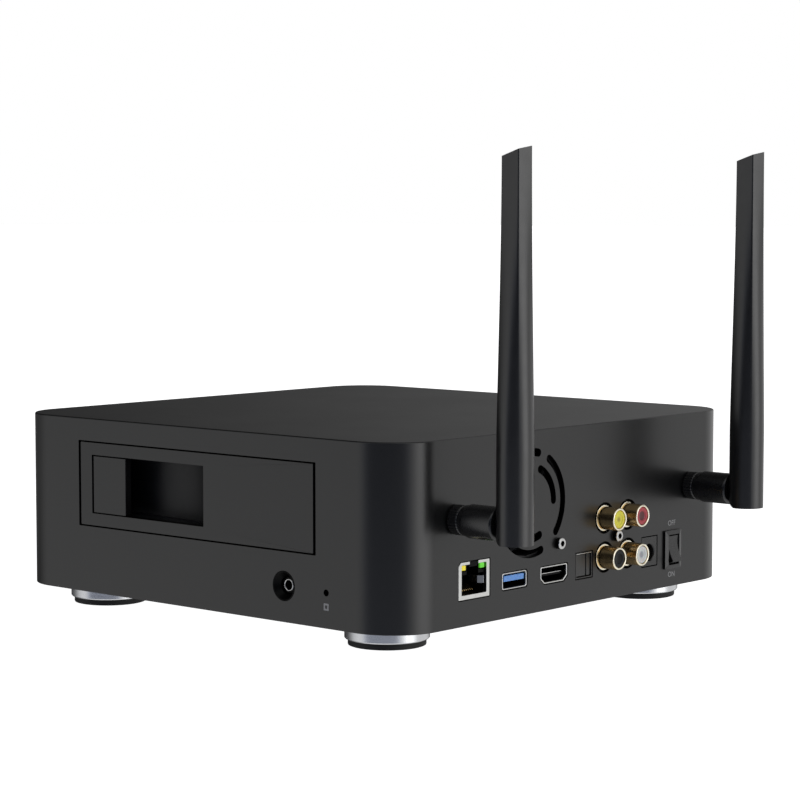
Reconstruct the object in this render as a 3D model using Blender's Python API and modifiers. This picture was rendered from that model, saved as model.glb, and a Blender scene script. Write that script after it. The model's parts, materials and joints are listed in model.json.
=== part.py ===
"""A desktop media player with a pull-out hard drive tray and two rod antennas.

Metres, +Z up. The front faces -Y, the socket panel faces +Y and the tray slides out of
the +X side. The world origin is on the ground, under the middle of the whole object.
Every piece is placed in the chassis frame: its zero is the middle of the chassis at the
lower edge of the walls, and the empty named media_player carries it.
"""

import math

import bmesh
import bpy
from mathutils import Vector

# Fits shared by all pieces
FIT = 0.0003
OVERRUN = 0.001
OVERLAP = 0.0004
WELD_DISTANCE = 0.000001
SCREW_MERGE = 0.000001
SHARP_ANGLE = math.radians(32)

# The 3.5 inch drive that the case is built round, and the room before and behind it
DRIVE_LENGTH = 0.147
DRIVE_WIDTH = 0.1016
DRIVE_ROOM = 0.048

# Chassis shell: roof and four walls in one piece
CHASSIS_WIDTH = DRIVE_LENGTH + DRIVE_ROOM
CHASSIS_DEPTH = 0.195
CHASSIS_HEIGHT = 0.0647
CORNER_RADIUS = 0.0191
WALL = 0.002
EDGE_BREAK = 0.0005
POST_SIDE_INSET = 0.0242
POST_END_INSET = 0.0265
POST_RADIUS = 0.0036
POST_BORE_DEPTH = 0.0075

# Bottom cover and main board
COVER_THICKNESS = 0.0015
STANDOFF_HEIGHT = 0.0055
STANDOFF_RADIUS = 0.0025
STANDOFF_WALL_DISTANCE = 0.0165
VENT_LENGTH = 0.034
VENT_WIDTH = 0.0026
VENT_PITCH = 0.0062
VENT_COUNT = 6
VENT_COLUMN_X = 0.026
BOARD_THICKNESS = 0.0016
BOARD_WALL_DISTANCE = 0.0018
BOARD_NOTCH_CLEARANCE = 0.0009
BOARD_NOTCH_DEPTH = 0.0175
HEATSINK_WIDTH = 0.042
HEATSINK_BASE = 0.0028
HEATSINK_HEIGHT = 0.0128
HEATSINK_FINS = 9
FIN_THICKNESS = 0.0012
HEATSINK_X = 0.012
HEATSINK_Y = -0.006

# Feet: a bright turned ring with a rubber pad set into it
FOOT_RADIUS = 0.0148
FOOT_RING_HEIGHT = 0.005
FOOT_HEIGHT = 0.0076
FOOT_LIP = 0.0009
PAD_SEAT_DEPTH = 0.0012
FOOT_CHAMFER = 0.0004
STUD_RADIUS = 0.0018
STUD_LENGTH = 0.0075

# Drive tray opening in the +X wall
TRAY_CENTRE_Y = -0.0003
TRAY_CENTRE_Z = 0.04045
TRAY_SIDE_ROOM = 0.0028
TRAY_OPENING_HEIGHT = 0.0317
TRAY_SIDE_GAP = 0.0011
TRAY_TOP_GAP = 0.0005

# Tray front with its finger pocket and pull lever
FRONT_THICKNESS = 0.0032
POCKET_INSET = 0.00730
POCKET_WIDTH = 0.0588
POCKET_HEIGHT = 0.0216
POCKET_DEPTH = 0.011
POCKET_WALL = 0.0015
POCKET_CORNER = 0.004
LEVER_WIDTH = 0.0173
LEVER_THICKNESS = 0.0016
LEVER_SIDE_GAP = 0.0009
LEVER_END_GAP = 0.0004
LEVER_PIN_INSET = 0.0032
LEVER_PIN_RADIUS = 0.0008
LEVER_KNUCKLE_RADIUS = 0.0019
LEVER_GRIP_DEPTH = 0.0012
LEVER_GRIP_WIDTH = 0.0022
PIN_SEAT_DEPTH = 0.0011

# Drive carrier behind the tray front
DRIVE_SLACK = 0.0006
CARRIER_WALL = 0.002
CARRIER_FLOOR = 0.0015
CARRIER_SIDE_HEIGHT = 0.0205
CARRIER_LIFT = 0.0004
RAIL_WIDTH = 0.0045
RAIL_HEIGHT = 0.003
RAIL_LIFT = 0.0075
CARRIER_WINDOW_LENGTH = 0.052
CARRIER_WINDOW_WIDTH = 0.07
CARRIER_BRIDGE = 0.012
DRIVE_HOLE_RADIUS = 0.0018
DRIVE_HOLE_LIFT = 0.0049
DRIVE_HOLE_SHARES = (0.19, 0.6, 0.88)

# Drive bay: folded sheet cage that hangs under the roof
BAY_SHEET = 0.0012
BAY_FLOOR_DROP = 0.0005
BAY_SIDE_PLAY = 0.0003
BAY_LEDGE = 0.0018
BAY_LEDGE_REACH = 0.0056
BAY_FLANGE = 0.0052
BAY_FRONT_GAP = 0.0017
BAY_END_GAP = 0.0006
BAY_SLOT_LENGTH = 0.07
BAY_SLOT_WIDTH = 0.006
BAY_SLOT_PITCH = 0.018
BAY_SLOT_COUNT = 5

# Drive socket on its upright board at the end of the bay
SATA_BOARD_WIDTH = 0.072
SATA_BOARD_HEIGHT = 0.034
SATA_WIDTH = 0.044
SATA_HEIGHT = 0.0058
SATA_REACH = 0.0036
SATA_LIFT = 0.0012
SATA_SLOT_HEIGHT = 0.0018
SATA_SLOT_DEPTH = 0.0026
SATA_RIM = 0.0012

# Display window in the front wall
WINDOW_WIDTH = 0.088
WINDOW_HEIGHT = 0.019
WINDOW_CENTRE_Z = 0.0355
WINDOW_FLANGE = 0.003
WINDOW_CORNER = 0.0015

# Network socket
LAN_CENTRE_X = 0.0582
LAN_WIDTH = 0.0164
LAN_HEIGHT = 0.0129
LAN_DEPTH = 0.0213
LAN_SHEET = 0.0005
LAN_FRAME_SIDE = 0.0016
LAN_FRAME_TOP = 0.001
LAN_FRAME_BOTTOM = 0.0015
LAN_NOTCH_WIDTH = 0.0046
LAN_CHAMFER = 0.0012
LAN_PLUG_WIDTH = 0.0119
LAN_PLUG_HEIGHT = 0.0069
LAN_PLUG_DEPTH = 0.0125
LAN_LATCH_WIDTH = 0.0062
LED_WIDTH = 0.0027
LED_HEIGHT = 0.0021
LED_LENGTH = 0.009
LED_OFFSET = 0.00495

# USB socket
USB_CENTRE_X = 0.0363
USB_WIDTH = 0.0136
USB_HEIGHT = 0.0059
USB_DEPTH = 0.0142
USB_LIFT = 0.00085
USB_SHEET = 0.0005
USB_CORNER = 0.0009
USB_TONGUE_WIDTH = 0.0111
USB_TONGUE_THICKNESS = 0.0018
USB_TONGUE_DROP = 0.0003
USB_BLOCK_DEPTH = 0.0042
USB_TONGUE_RECESS = 0.0008
USB_LEG = 0.0011

# HDMI socket
HDMI_CENTRE_X = 0.01405
HDMI_WIDTH = 0.0153
HDMI_HEIGHT = 0.0062
HDMI_DEPTH = 0.0116
HDMI_LIFT = 0.0004
HDMI_SHEET = 0.0005
HDMI_CORNER = 0.0006
HDMI_BEVEL_WIDTH = 0.0022
HDMI_BEVEL_HEIGHT = 0.0019
HDMI_TONGUE_WIDTH = 0.0108
HDMI_TONGUE_THICKNESS = 0.0011
HDMI_TONGUE_RECESS = 0.0014
HDMI_TONGUE_DROP = 0.0017
HDMI_BLOCK_DEPTH = 0.0034

# Optical socket with its sprung shutter
OPTICAL_CENTRE_X = -0.00335
OPTICAL_WIDTH = 0.0097
OPTICAL_HEIGHT = 0.0093
OPTICAL_DEPTH = 0.0135
OPTICAL_RIM = 0.0012
OPTICAL_CAVITY_DEPTH = 0.0095
SHUTTER_RECESS = 0.0018
SHUTTER_THICKNESS = 0.0007
SHUTTER_ROD_RADIUS = 0.0005
SHUTTER_ROD_SEAT = 0.0006

# RCA sockets, two columns by two rows on one block
RCA_CENTRE_X = -0.0225
RCA_PITCH_X = 0.014
RCA_LOW_Z = 0.0155
RCA_PITCH_Z = 0.0143
RCA_BARREL_RADIUS = 0.0041
RCA_BORE_RADIUS = 0.0034
RCA_FLANGE_RADIUS = 0.00495
RCA_FLANGE_THICKNESS = 0.0009
RCA_REACH = 0.007
RCA_SEAT = 0.0038
RCA_PANEL_HOLE_RADIUS = 0.0057
RCA_PIN_HOLE_RADIUS = 0.0016
RCA_MOUTH_RADIUS = 0.0025
RCA_MOUTH_DEPTH = 0.0012
RCA_INSERT_RECESS = 0.0004
RCA_BLOCK_DEPTH = 0.0122
RCA_BLOCK_MARGIN = 0.005

# Power socket
DC_CENTRE_X = -0.04325
DC_WIDTH = 0.0095
DC_HEIGHT = 0.0109
DC_DEPTH = 0.0144
DC_HOLE_LIFT = 0.005
DC_HOLE_RADIUS = 0.0031
DC_HOLE_DEPTH = 0.0095
DC_PIN_RADIUS = 0.001
DC_PIN_SEAT = 0.0015
DC_PIN_RECESS = 0.0012

# Rocker switch
SWITCH_CENTRE_X = -0.0573
SWITCH_CENTRE_Z = 0.01405
SWITCH_WIDTH = 0.0102
SWITCH_HEIGHT = 0.0145
SWITCH_DEPTH = 0.0125
BEZEL_PROUD = 0.0014
BEZEL_SIDE = 0.0004
BEZEL_BEVEL = 0.0015
BEZEL_OVERLAP = 0.0009
ROCKER_WIDTH = 0.0058
ROCKER_REACH = 0.0054
ROCKER_PIVOT_DEPTH = 0.0006
ROCKER_END_PROUD = 0.0022
ROCKER_DISH = 0.0011
ROCKER_BACK = 0.0022
ROCKER_TILT = math.radians(12)
ROCKER_TRUNNION_RADIUS = 0.0008
ROCKER_TRUNNION_LENGTH = 0.0006
SWITCH_POCKET_DEPTH = 0.0078

# Round-headed panel screws
SCREW_HEAD_RADIUS = 0.00205
SCREW_HEAD_HEIGHT = 0.0015
SCREW_SHANK_RADIUS = 0.0012
SCREW_LENGTH = 0.008
SCREW_SOCKET_RADIUS = 0.0013
SCREW_SOCKET_DEPTH = 0.0009
SCREW_HOLE_RADIUS = 0.0016

# Side panel: 3.5 mm service jack and the pin-hole button
JACK_REAR_DISTANCE = 0.0525
JACK_Z = 0.01265
JACK_DISH_RADIUS = 0.00525
JACK_DISH_FLOOR_RADIUS = 0.0031
JACK_NOSE_RADIUS = 0.0025
JACK_BORE_RADIUS = 0.00175
JACK_RECESS = 0.0026
JACK_NOSE_LENGTH = 0.0016
JACK_BODY_WIDTH = 0.0066
JACK_BODY_LENGTH = 0.0115
JACK_BORE_DEPTH = 0.0105
RESET_REAR_DISTANCE = 0.0325
RESET_Z = 0.0123
RESET_HOLE_RADIUS = 0.00115
RESET_BODY_WIDTH = 0.0046
RESET_BODY_LENGTH = 0.0052
RESET_BODY_SETBACK = 0.0028
RESET_STEM_RADIUS = 0.0012
RESET_STEM_PROUD = 0.0018
RESET_STEM_SEAT = 0.002
RESET_TRAVEL = 0.0004

# Fan and the slots in the panel in front of it
FAN_X = 0.0273
FAN_Z = 0.0391
FAN_SIZE = 0.04
FAN_DEPTH = 0.01
FAN_CORNER = 0.003
FAN_BORE_RADIUS = 0.0188
FAN_HOLE_SPACING = 0.0315
FAN_HOLE_RADIUS = 0.0016
FAN_HUB_RADIUS = 0.0095
FAN_HUB_DEPTH = 0.0066
FAN_HUB_WALL = 0.0012
FAN_SEAT_THICKNESS = 0.0014
FAN_STRUT_WIDTH = 0.0026
FAN_STRUTS = 4
FAN_SHAFT_RADIUS = 0.0015
FAN_TIP_RADIUS = 0.0179
FAN_BLADES = 7
FAN_BLADE_THICKNESS = 0.0009
FAN_ROOT_PITCH = math.radians(52)
FAN_TIP_PITCH = math.radians(30)
FAN_ROOT_CHORD = 0.0068
FAN_TIP_CHORD = 0.0094
SLOT_WIDTH = 0.0032
OUTER_SLOT_RADIUS = 0.0179
INNER_SLOT_RADIUS = 0.0126
OUTER_SLOTS_DEGREES = ((-39, 56), (77, 172), (193, 288))
INNER_SLOTS_DEGREES = ((0, 66), (113, 179), (226, 292))

# Antennas
ANTENNA_SIDE_DISTANCE = 0.0292
ANTENNA_Z = 0.0373
ANTENNA_REACH = 0.0258
ANTENNA_HOLE_RADIUS = 0.0035
SOCKET_RADIUS = 0.0031
SOCKET_FLANGE_RADIUS = 0.0048
SOCKET_FLANGE_THICKNESS = 0.0022
SOCKET_LENGTH = 0.0095
NUT_RADIUS = 0.00515
NUT_LENGTH = 0.0042
NUT_FLATS = 18
SLEEVE_ROOT_RADIUS = 0.0053
SLEEVE_RADIUS = 0.0058
SLEEVE_CHAMFER = 0.0006
SLEEVE_SHOULDER = 0.0060
SLEEVE_BORE_DEPTH = 0.0055
HINGE_DROP = 0.0008
TONGUE_THICKNESS = 0.0046
TONGUE_RADIUS = 0.0034
HINGE_PIN_RADIUS = 0.0013
HINGE_PIN_LENGTH = 0.0084
BLADE_RADIUS = 0.00635
BLADE_DROP = 0.0055
BLADE_HEEL_GAP = 0.0003
BLADE_STRAIGHT = 0.0235
BLADE_LENGTH = 0.126
BLADE_TIP_X = 0.0059
BLADE_TIP_Y = 0.0078
BLADE_TIP_SLOPE = math.radians(18)
BLADE_TIP_LEAN = math.radians(6)
BLADE_SLOT_PLAY = 0.0005
BLADE_FLATNESS = 12
BLADE_BLEND_SHARES = ((0, 0), (0.1, 0.1), (0.3, 0.39), (0.5, 0.66), (0.75, 0.9), (1, 1))

# How finely round shapes are cut
CORNER_STEPS = 6
SMALL_STEPS = 3
CAP_STEPS = 4
LARGE_SEGMENTS = 28
FOOT_SEGMENTS = 24
ROUND_SEGMENTS = 20
SMALL_SEGMENTS = 16
TINY_SEGMENTS = 12
BLADE_POINTS = 24

# Directions: an outline drawn in X and Y, or a turned shape about Z, faces out of a panel
OUTLINE_ON_REAR = (math.pi / 2, 0, 0)
OUTLINE_ON_SIDE = (math.pi / 2, 0, math.pi / 2)
AXIS_OUT_OF_REAR = (-math.pi / 2, 0, 0)
AXIS_OUT_OF_SIDE = (0, math.pi / 2, 0)
AXIS_ALONG_X = (0, math.pi / 2, 0)

# Places worked out from the sizes above
REAR_FACE = CHASSIS_DEPTH / 2
SIDE_FACE = CHASSIS_WIDTH / 2
FRONT_FACE = -CHASSIS_DEPTH / 2
ROOF_UNDERSIDE = CHASSIS_HEIGHT - WALL
POST_X = CHASSIS_WIDTH / 2 - POST_SIDE_INSET
POST_Y = CHASSIS_DEPTH / 2 - POST_END_INSET
BOARD_TOP = COVER_THICKNESS + STANDOFF_HEIGHT + FIT + BOARD_THICKNESS
PORT_BASE = BOARD_TOP + FIT
PORT_FRONT = REAR_FACE - FIT / 3
TRAY_OPENING_WIDTH = DRIVE_WIDTH + DRIVE_SLACK + 2 * (CARRIER_WALL + RAIL_WIDTH + TRAY_SIDE_ROOM)
TRAY_OPENING_LOW = TRAY_CENTRE_Z - TRAY_OPENING_HEIGHT / 2
TRAY_FRONT_WIDTH = TRAY_OPENING_WIDTH - 2 * TRAY_SIDE_GAP
TRAY_FRONT_HEIGHT = TRAY_OPENING_HEIGHT - 2 * TRAY_TOP_GAP
TRAY_FRONT_LOW = TRAY_CENTRE_Z - TRAY_FRONT_HEIGHT / 2
POCKET_LOW_Y = TRAY_CENTRE_Y - TRAY_OPENING_WIDTH / 2 + POCKET_INSET
POCKET_CENTRE_Y = POCKET_LOW_Y + POCKET_WIDTH / 2
LEVER_PIN_X = SIDE_FACE - LEVER_KNUCKLE_RADIUS
LEVER_PIN_Y = POCKET_LOW_Y + LEVER_SIDE_GAP + LEVER_PIN_INSET
CARRIER_FRONT_X = SIDE_FACE - POCKET_DEPTH - POCKET_WALL - FIT
CARRIER_LOW = TRAY_FRONT_LOW + CARRIER_LIFT
CARRIER_FLOOR_TOP = CARRIER_LOW + CARRIER_FLOOR
CARRIER_INSIDE = (DRIVE_WIDTH + DRIVE_SLACK) / 2
CARRIER_OUTSIDE = CARRIER_INSIDE + CARRIER_WALL
CARRIER_END_X = CARRIER_FRONT_X - DRIVE_LENGTH - DRIVE_SLACK
RAIL_OUTSIDE = CARRIER_OUTSIDE + RAIL_WIDTH
RAIL_LOW = CARRIER_LOW + RAIL_LIFT
BAY_INSIDE = TRAY_OPENING_WIDTH / 2 + BAY_SIDE_PLAY
BAY_OUTSIDE = BAY_INSIDE + BAY_SHEET
BAY_FLOOR_TOP = TRAY_OPENING_LOW - BAY_FLOOR_DROP
BAY_TOP = ROOF_UNDERSIDE - FIT
BAY_FRONT_X = SIDE_FACE - WALL - BAY_FRONT_GAP
BAY_END_X = CARRIER_END_X - BAY_END_GAP
SATA_CENTRE_Z = CARRIER_FLOOR_TOP + SATA_LIFT + SATA_HEIGHT / 2
FAN_FRONT = REAR_FACE - WALL - FIT
FAN_BACK = FAN_FRONT - FAN_DEPTH
JACK_Y = REAR_FACE - JACK_REAR_DISTANCE
RESET_Y = REAR_FACE - RESET_REAR_DISTANCE
ANTENNA_X = SIDE_FACE - ANTENNA_SIDE_DISTANCE
REAR_REACH = ANTENNA_REACH + BLADE_RADIUS

# Colours of the finishes, and how rough and how metallic they are
DARK_ALUMINIUM = ((0.045, 0.045, 0.047), 0.42, 0.6)
BLACK_PLASTIC = ((0.02, 0.02, 0.022), 0.45, 0.0)
SOFT_BLACK = ((0.028, 0.028, 0.03), 0.5, 0.0)
RUBBER = ((0.012, 0.012, 0.012), 0.8, 0.0)
BRIGHT_METAL = ((0.75, 0.75, 0.76), 0.22, 1.0)
NICKEL = ((0.62, 0.61, 0.58), 0.28, 1.0)
SHEET_STEEL = ((0.5, 0.51, 0.52), 0.4, 1.0)
GOLD = ((0.83, 0.6, 0.25), 0.25, 1.0)
BOARD_GREEN = ((0.02, 0.12, 0.05), 0.5, 0.0)
SMOKED = ((0.01, 0.01, 0.012), 0.08, 0.0)
YELLOW = ((0.8, 0.68, 0.05), 0.35, 0.0)
RED = ((0.5, 0.03, 0.04), 0.35, 0.0)
WHITE = ((0.75, 0.76, 0.78), 0.35, 0.0)
GREEN_LIGHT = ((0.3, 0.7, 0.15), 0.2, 0.0)
AMBER_LIGHT = ((0.85, 0.7, 0.1), 0.2, 0.0)
PALE_BLUE = ((0.25, 0.5, 0.85), 0.35, 0.0)


def clear_scene():
    for obj in list(bpy.data.objects):
        bpy.data.objects.remove(obj, do_unlink=True)


def add_collection(name):
    collection = bpy.data.collections.new(name)
    bpy.context.scene.collection.children.link(collection)
    return collection


clear_scene()
PARTS = add_collection("media_player")
CUTTERS = add_collection("cutters")


def place(name, data, collection, parent, location, rotation):
    obj = bpy.data.objects.new(name, data)
    collection.objects.link(obj)
    obj.parent = parent
    obj.location = location
    obj.rotation_euler = rotation
    return obj


def add_empty(name, location, parent=None):
    return place(name, None, PARTS, parent, location, (0, 0, 0))


ROOT = add_empty("media_player", (0, -REAR_REACH / 2, FOOT_HEIGHT))


def finish(obj, look):
    """Give the piece a material of its own, with this colour, roughness and metallic value."""
    colour, roughness, metallic = look
    material = bpy.data.materials.new(obj.name + " finish")
    material.use_nodes = True
    shader = material.node_tree.nodes["Principled BSDF"]
    shader.inputs["Base Color"].default_value = (*colour, 1)
    shader.inputs["Roughness"].default_value = roughness
    shader.inputs["Metallic"].default_value = metallic
    obj.data.materials.append(material)
    obj.data.shade_smooth()
    obj.data.set_sharp_from_angle(angle=SHARP_ANGLE)
    return obj


def hide_helper(obj):
    for collection in list(obj.users_collection):
        collection.objects.unlink(obj)
    CUTTERS.objects.link(obj)
    obj.hide_render = True
    obj.display_type = "WIRE"


def combine(target, tool, operation):
    hide_helper(tool)
    boolean = target.modifiers.new(tool.name, "BOOLEAN")
    boolean.operation = operation
    boolean.object = tool
    boolean.solver = "EXACT"
    return target


def cut(target, *tools):
    for tool in tools:
        combine(target, tool, "DIFFERENCE")
    return target


def join(target, *tools):
    for tool in tools:
        combine(target, tool, "UNION")
    return target


def block(name, low, high, parent=ROOT, rotation=(0, 0, 0), pivot=(0, 0, 0)):
    """A box between two corners. Its origin is at pivot, which the corners are measured from."""
    shape = bmesh.new()
    bmesh.ops.create_cube(shape, size=1)
    size = Vector(high) - Vector(low)
    middle = (Vector(high) + Vector(low)) / 2
    bmesh.ops.scale(shape, vec=size, verts=shape.verts)
    bmesh.ops.translate(shape, vec=middle, verts=shape.verts)
    mesh = bpy.data.meshes.new(name)
    shape.to_mesh(mesh)
    shape.free()
    return place(name, mesh, PARTS, parent, pivot, rotation)


def rod(name, radius, length, location, rotation, parent=ROOT, segments=SMALL_SEGMENTS, end_radius=None):
    """A cylinder, or a cone where end_radius is given, that starts at location and runs along local Z."""
    shape = bmesh.new()
    bmesh.ops.create_cone(
        shape,
        cap_ends=True,
        segments=segments,
        radius1=radius,
        radius2=radius if end_radius is None else end_radius,
        depth=length,
    )
    bmesh.ops.translate(shape, vec=(0, 0, length / 2), verts=shape.verts)
    mesh = bpy.data.meshes.new(name)
    shape.to_mesh(mesh)
    shape.free()
    return place(name, mesh, PARTS, parent, location, rotation)


def upright(name, radius, height, location):
    return rod(name, radius, height, location, (0, 0, 0), segments=TINY_SEGMENTS)


def turned(name, profile, location, rotation, parent=ROOT, segments=ROUND_SEGMENTS):
    """A lathe shape. The profile lists radius and height down the outer side, and closes on the axis."""
    mesh = bpy.data.meshes.new(name)
    points = [(radius, 0, height) for radius, height in profile]
    edges = [(index, index + 1) for index in range(len(points) - 1)]
    if min(radius for radius, height in profile) > 0:
        edges.append((len(points) - 1, 0))
    mesh.from_pydata(points, edges, [])
    obj = place(name, mesh, PARTS, parent, location, rotation)
    screw = obj.modifiers.new("turn", "SCREW")
    screw.axis = "Z"
    screw.steps = segments
    screw.render_steps = segments
    screw.use_merge_vertices = True
    screw.merge_threshold = SCREW_MERGE
    screw.use_smooth_shade = True
    return obj


def rectangle(width, height, centre=(0, 0)):
    across, up = centre
    return [
        (across - width / 2, up - height / 2),
        (across + width / 2, up - height / 2),
        (across + width / 2, up + height / 2),
        (across - width / 2, up + height / 2),
    ]


def rounded(corners, radius, steps=SMALL_STEPS):
    """The same outline with an arc of this radius in place of each corner."""
    points = []
    for index, corner in enumerate(corners):
        here = Vector(corner)
        back = (Vector(corners[index - 1]) - here).normalized()
        ahead = (Vector(corners[(index + 1) % len(corners)]) - here).normalized()
        half = back.angle(ahead) / 2
        centre = here + (back + ahead).normalized() * radius / math.sin(half)
        start = here + back * radius / math.tan(half) - centre
        end = here + ahead * radius / math.tan(half) - centre
        first = math.atan2(start.y, start.x)
        sweep = (math.atan2(end.y, end.x) - first + math.pi) % math.tau - math.pi
        for step in range(steps + 1):
            angle = first + sweep * step / steps
            points.append((centre.x + radius * math.cos(angle), centre.y + radius * math.sin(angle)))
    return points


def arc(radius, start, end, steps, centre=(0, 0)):
    across, up = centre
    angles = [start + (end - start) * step / steps for step in range(steps + 1)]
    return [(across + radius * math.cos(angle), up + radius * math.sin(angle)) for angle in angles]


def stadium(length, width):
    """A slot with round ends that lies along the first axis."""
    reach = (length - width) / 2
    right = arc(width / 2, -math.pi / 2, math.pi / 2, CAP_STEPS, (reach, 0))
    left = arc(width / 2, math.pi / 2, 3 * math.pi / 2, CAP_STEPS, (-reach, 0))
    return right + left


def prism(name, outline, depth, location, rotation, parent=ROOT, holes=()):
    """A flat outline with this thickness, half on each side of location, as a welded mesh."""
    curve = bpy.data.curves.new(name, "CURVE")
    curve.dimensions = "2D"
    curve.fill_mode = "BOTH"
    curve.extrude = depth / 2
    for ring in (outline, *holes):
        spline = curve.splines.new("POLY")
        spline.points.add(len(ring) - 1)
        spline.use_cyclic_u = True
        for point, (across, up) in zip(spline.points, ring):
            point.co = (across, up, 0, 1)
    draft = place(name + " outline", curve, PARTS, None, (0, 0, 0), (0, 0, 0))
    graph = bpy.context.evaluated_depsgraph_get()
    mesh = bpy.data.meshes.new_from_object(draft.evaluated_get(graph))
    bpy.data.objects.remove(draft, do_unlink=True)
    mesh.name = name
    shape = bmesh.new()
    shape.from_mesh(mesh)
    bmesh.ops.remove_doubles(shape, verts=shape.verts, dist=WELD_DISTANCE)
    bmesh.ops.recalc_face_normals(shape, faces=shape.faces)
    shape.to_mesh(mesh)
    shape.free()
    return place(name, mesh, PARTS, parent, location, rotation)


def loft(name, rings, location, rotation=(0, 0, 0), parent=ROOT):
    """A solid skinned over rings that have the same number of points."""
    shape = bmesh.new()
    rows = [[shape.verts.new(point) for point in ring] for ring in rings]
    count = len(rows[0])
    for lower, upper in zip(rows, rows[1:]):
        for index in range(count):
            after = (index + 1) % count
            shape.faces.new((lower[index], lower[after], upper[after], upper[index]))
    shape.faces.new(list(reversed(rows[0])))
    shape.faces.new(rows[-1])
    bmesh.ops.recalc_face_normals(shape, faces=shape.faces)
    mesh = bpy.data.meshes.new(name)
    shape.to_mesh(mesh)
    shape.free()
    return place(name, mesh, PARTS, parent, location, rotation)


def wall_opening(name, outline, centre_x, centre_z):
    """A cutter through the rear wall, with its outline drawn about one point of the panel."""
    depth = WALL + 2 * OVERRUN
    location = (centre_x, REAR_FACE - WALL / 2, centre_z)
    return prism(name, outline, depth, location, OUTLINE_ON_REAR)


def chassis_outline(inset):
    corners = rectangle(CHASSIS_WIDTH - 2 * inset, CHASSIS_DEPTH - 2 * inset)
    return rounded(corners, CORNER_RADIUS - inset, CORNER_STEPS)


def chassis_shell(openings):
    """Roof and walls in one piece: a solid with a broken upper edge, hollowed from below."""
    shell = prism(
        "chassis_shell", chassis_outline(0), CHASSIS_HEIGHT, (0, 0, CHASSIS_HEIGHT / 2), (0, 0, 0)
    )
    mark_upper_edge(shell.data)
    bevel = shell.modifiers.new("edge break", "BEVEL")
    bevel.width = EDGE_BREAK
    bevel.segments = 2
    bevel.limit_method = "WEIGHT"
    height = ROOF_UNDERSIDE + OVERRUN
    middle = (0, 0, ROOF_UNDERSIDE - height / 2)
    cut(shell, prism("chassis hollow", chassis_outline(WALL), height, middle, (0, 0, 0)))
    for name, x, y in corner_places():
        join(shell, corner_post(name, x, y))
    return cut(shell, *openings)


def mark_upper_edge(mesh):
    """Gives the edges round the upper face the weight that the bevel looks for."""
    skin = bmesh.new()
    skin.from_mesh(mesh)
    weight = skin.edges.layers.float.new("bevel_weight_edge")
    top = max(vert.co.z for vert in skin.verts)
    for edge in skin.edges:
        level = min(vert.co.z for vert in edge.verts) > top - WELD_DISTANCE
        edge[weight] = float(level and edge.calc_face_angle() > SHARP_ANGLE)
    skin.to_mesh(mesh)
    skin.free()


def corner_places():
    return [
        ("rear_right", POST_X, POST_Y),
        ("rear_left", -POST_X, POST_Y),
        ("front_right", POST_X, -POST_Y),
        ("front_left", -POST_X, -POST_Y),
    ]


def corner_post(name, x, y):
    foot = COVER_THICKNESS + FIT
    height = ROOF_UNDERSIDE + OVERLAP - foot
    depth = POST_BORE_DEPTH + OVERRUN
    low = (x, y, foot - OVERRUN)
    post = upright("post " + name, POST_RADIUS, height, (x, y, foot))
    return cut(post, upright("post bore " + name, STUD_RADIUS + FIT, depth, low))


def bottom_cover():
    """Plate that closes the underside, with pressed stand-offs for the board and two rows of air slots."""
    inset = WALL + FIT
    cover = prism(
        "bottom_cover", chassis_outline(inset), COVER_THICKNESS, (0, 0, COVER_THICKNESS / 2), (0, 0, 0)
    )
    for index, (x, y) in enumerate(standoff_places()):
        low = COVER_THICKNESS - OVERLAP
        name = f"stand-off {index}"
        join(cover, upright(name, STANDOFF_RADIUS, STANDOFF_HEIGHT + OVERLAP, (x, y, low)))
    for name, x, y in corner_places():
        low = (x, y, -OVERRUN)
        cut(cover, upright("stud hole " + name, STUD_RADIUS + FIT, COVER_THICKNESS + 2 * OVERRUN, low))
    for column in (-1, 1):
        for index in range(VENT_COUNT):
            y = (index - (VENT_COUNT - 1) / 2) * VENT_PITCH
            cut(cover, air_slot(f"air slot {column} {index}", column * VENT_COLUMN_X, y))
    return finish(cover, SHEET_STEEL)


def standoff_places():
    across = CHASSIS_WIDTH / 2 - STANDOFF_WALL_DISTANCE
    along = CHASSIS_DEPTH / 2 - STANDOFF_WALL_DISTANCE
    return [(across, 0), (-across, 0), (0, -along), (0, along), (across, -along / 2), (-across, -along / 2)]


def air_slot(name, x, y):
    outline = stadium(VENT_LENGTH, VENT_WIDTH)
    middle = (x, y, COVER_THICKNESS / 2)
    return prism(name, outline, COVER_THICKNESS + 2 * OVERRUN, middle, (0, 0, 0))


def main_board():
    """Circuit board on the stand-offs, open round the posts and behind the rocker switch."""
    inset = WALL + BOARD_WALL_DISTANCE
    middle = BOARD_TOP - BOARD_THICKNESS / 2
    board = prism("main_board", chassis_outline(inset), BOARD_THICKNESS, (0, 0, middle), (0, 0, 0))
    for name, x, y in corner_places():
        low = (x, y, middle - BOARD_THICKNESS)
        cut(board, upright("board hole " + name, POST_RADIUS + FIT, 2 * BOARD_THICKNESS, low))
    notch_end = SWITCH_CENTRE_X + SWITCH_WIDTH / 2 + BOARD_NOTCH_CLEARANCE
    low = (-SIDE_FACE, REAR_FACE - BOARD_NOTCH_DEPTH, middle - BOARD_THICKNESS)
    high = (notch_end, REAR_FACE, middle + BOARD_THICKNESS)
    cut(board, block("switch notch", low, high))
    return finish(board, BOARD_GREEN)


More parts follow.
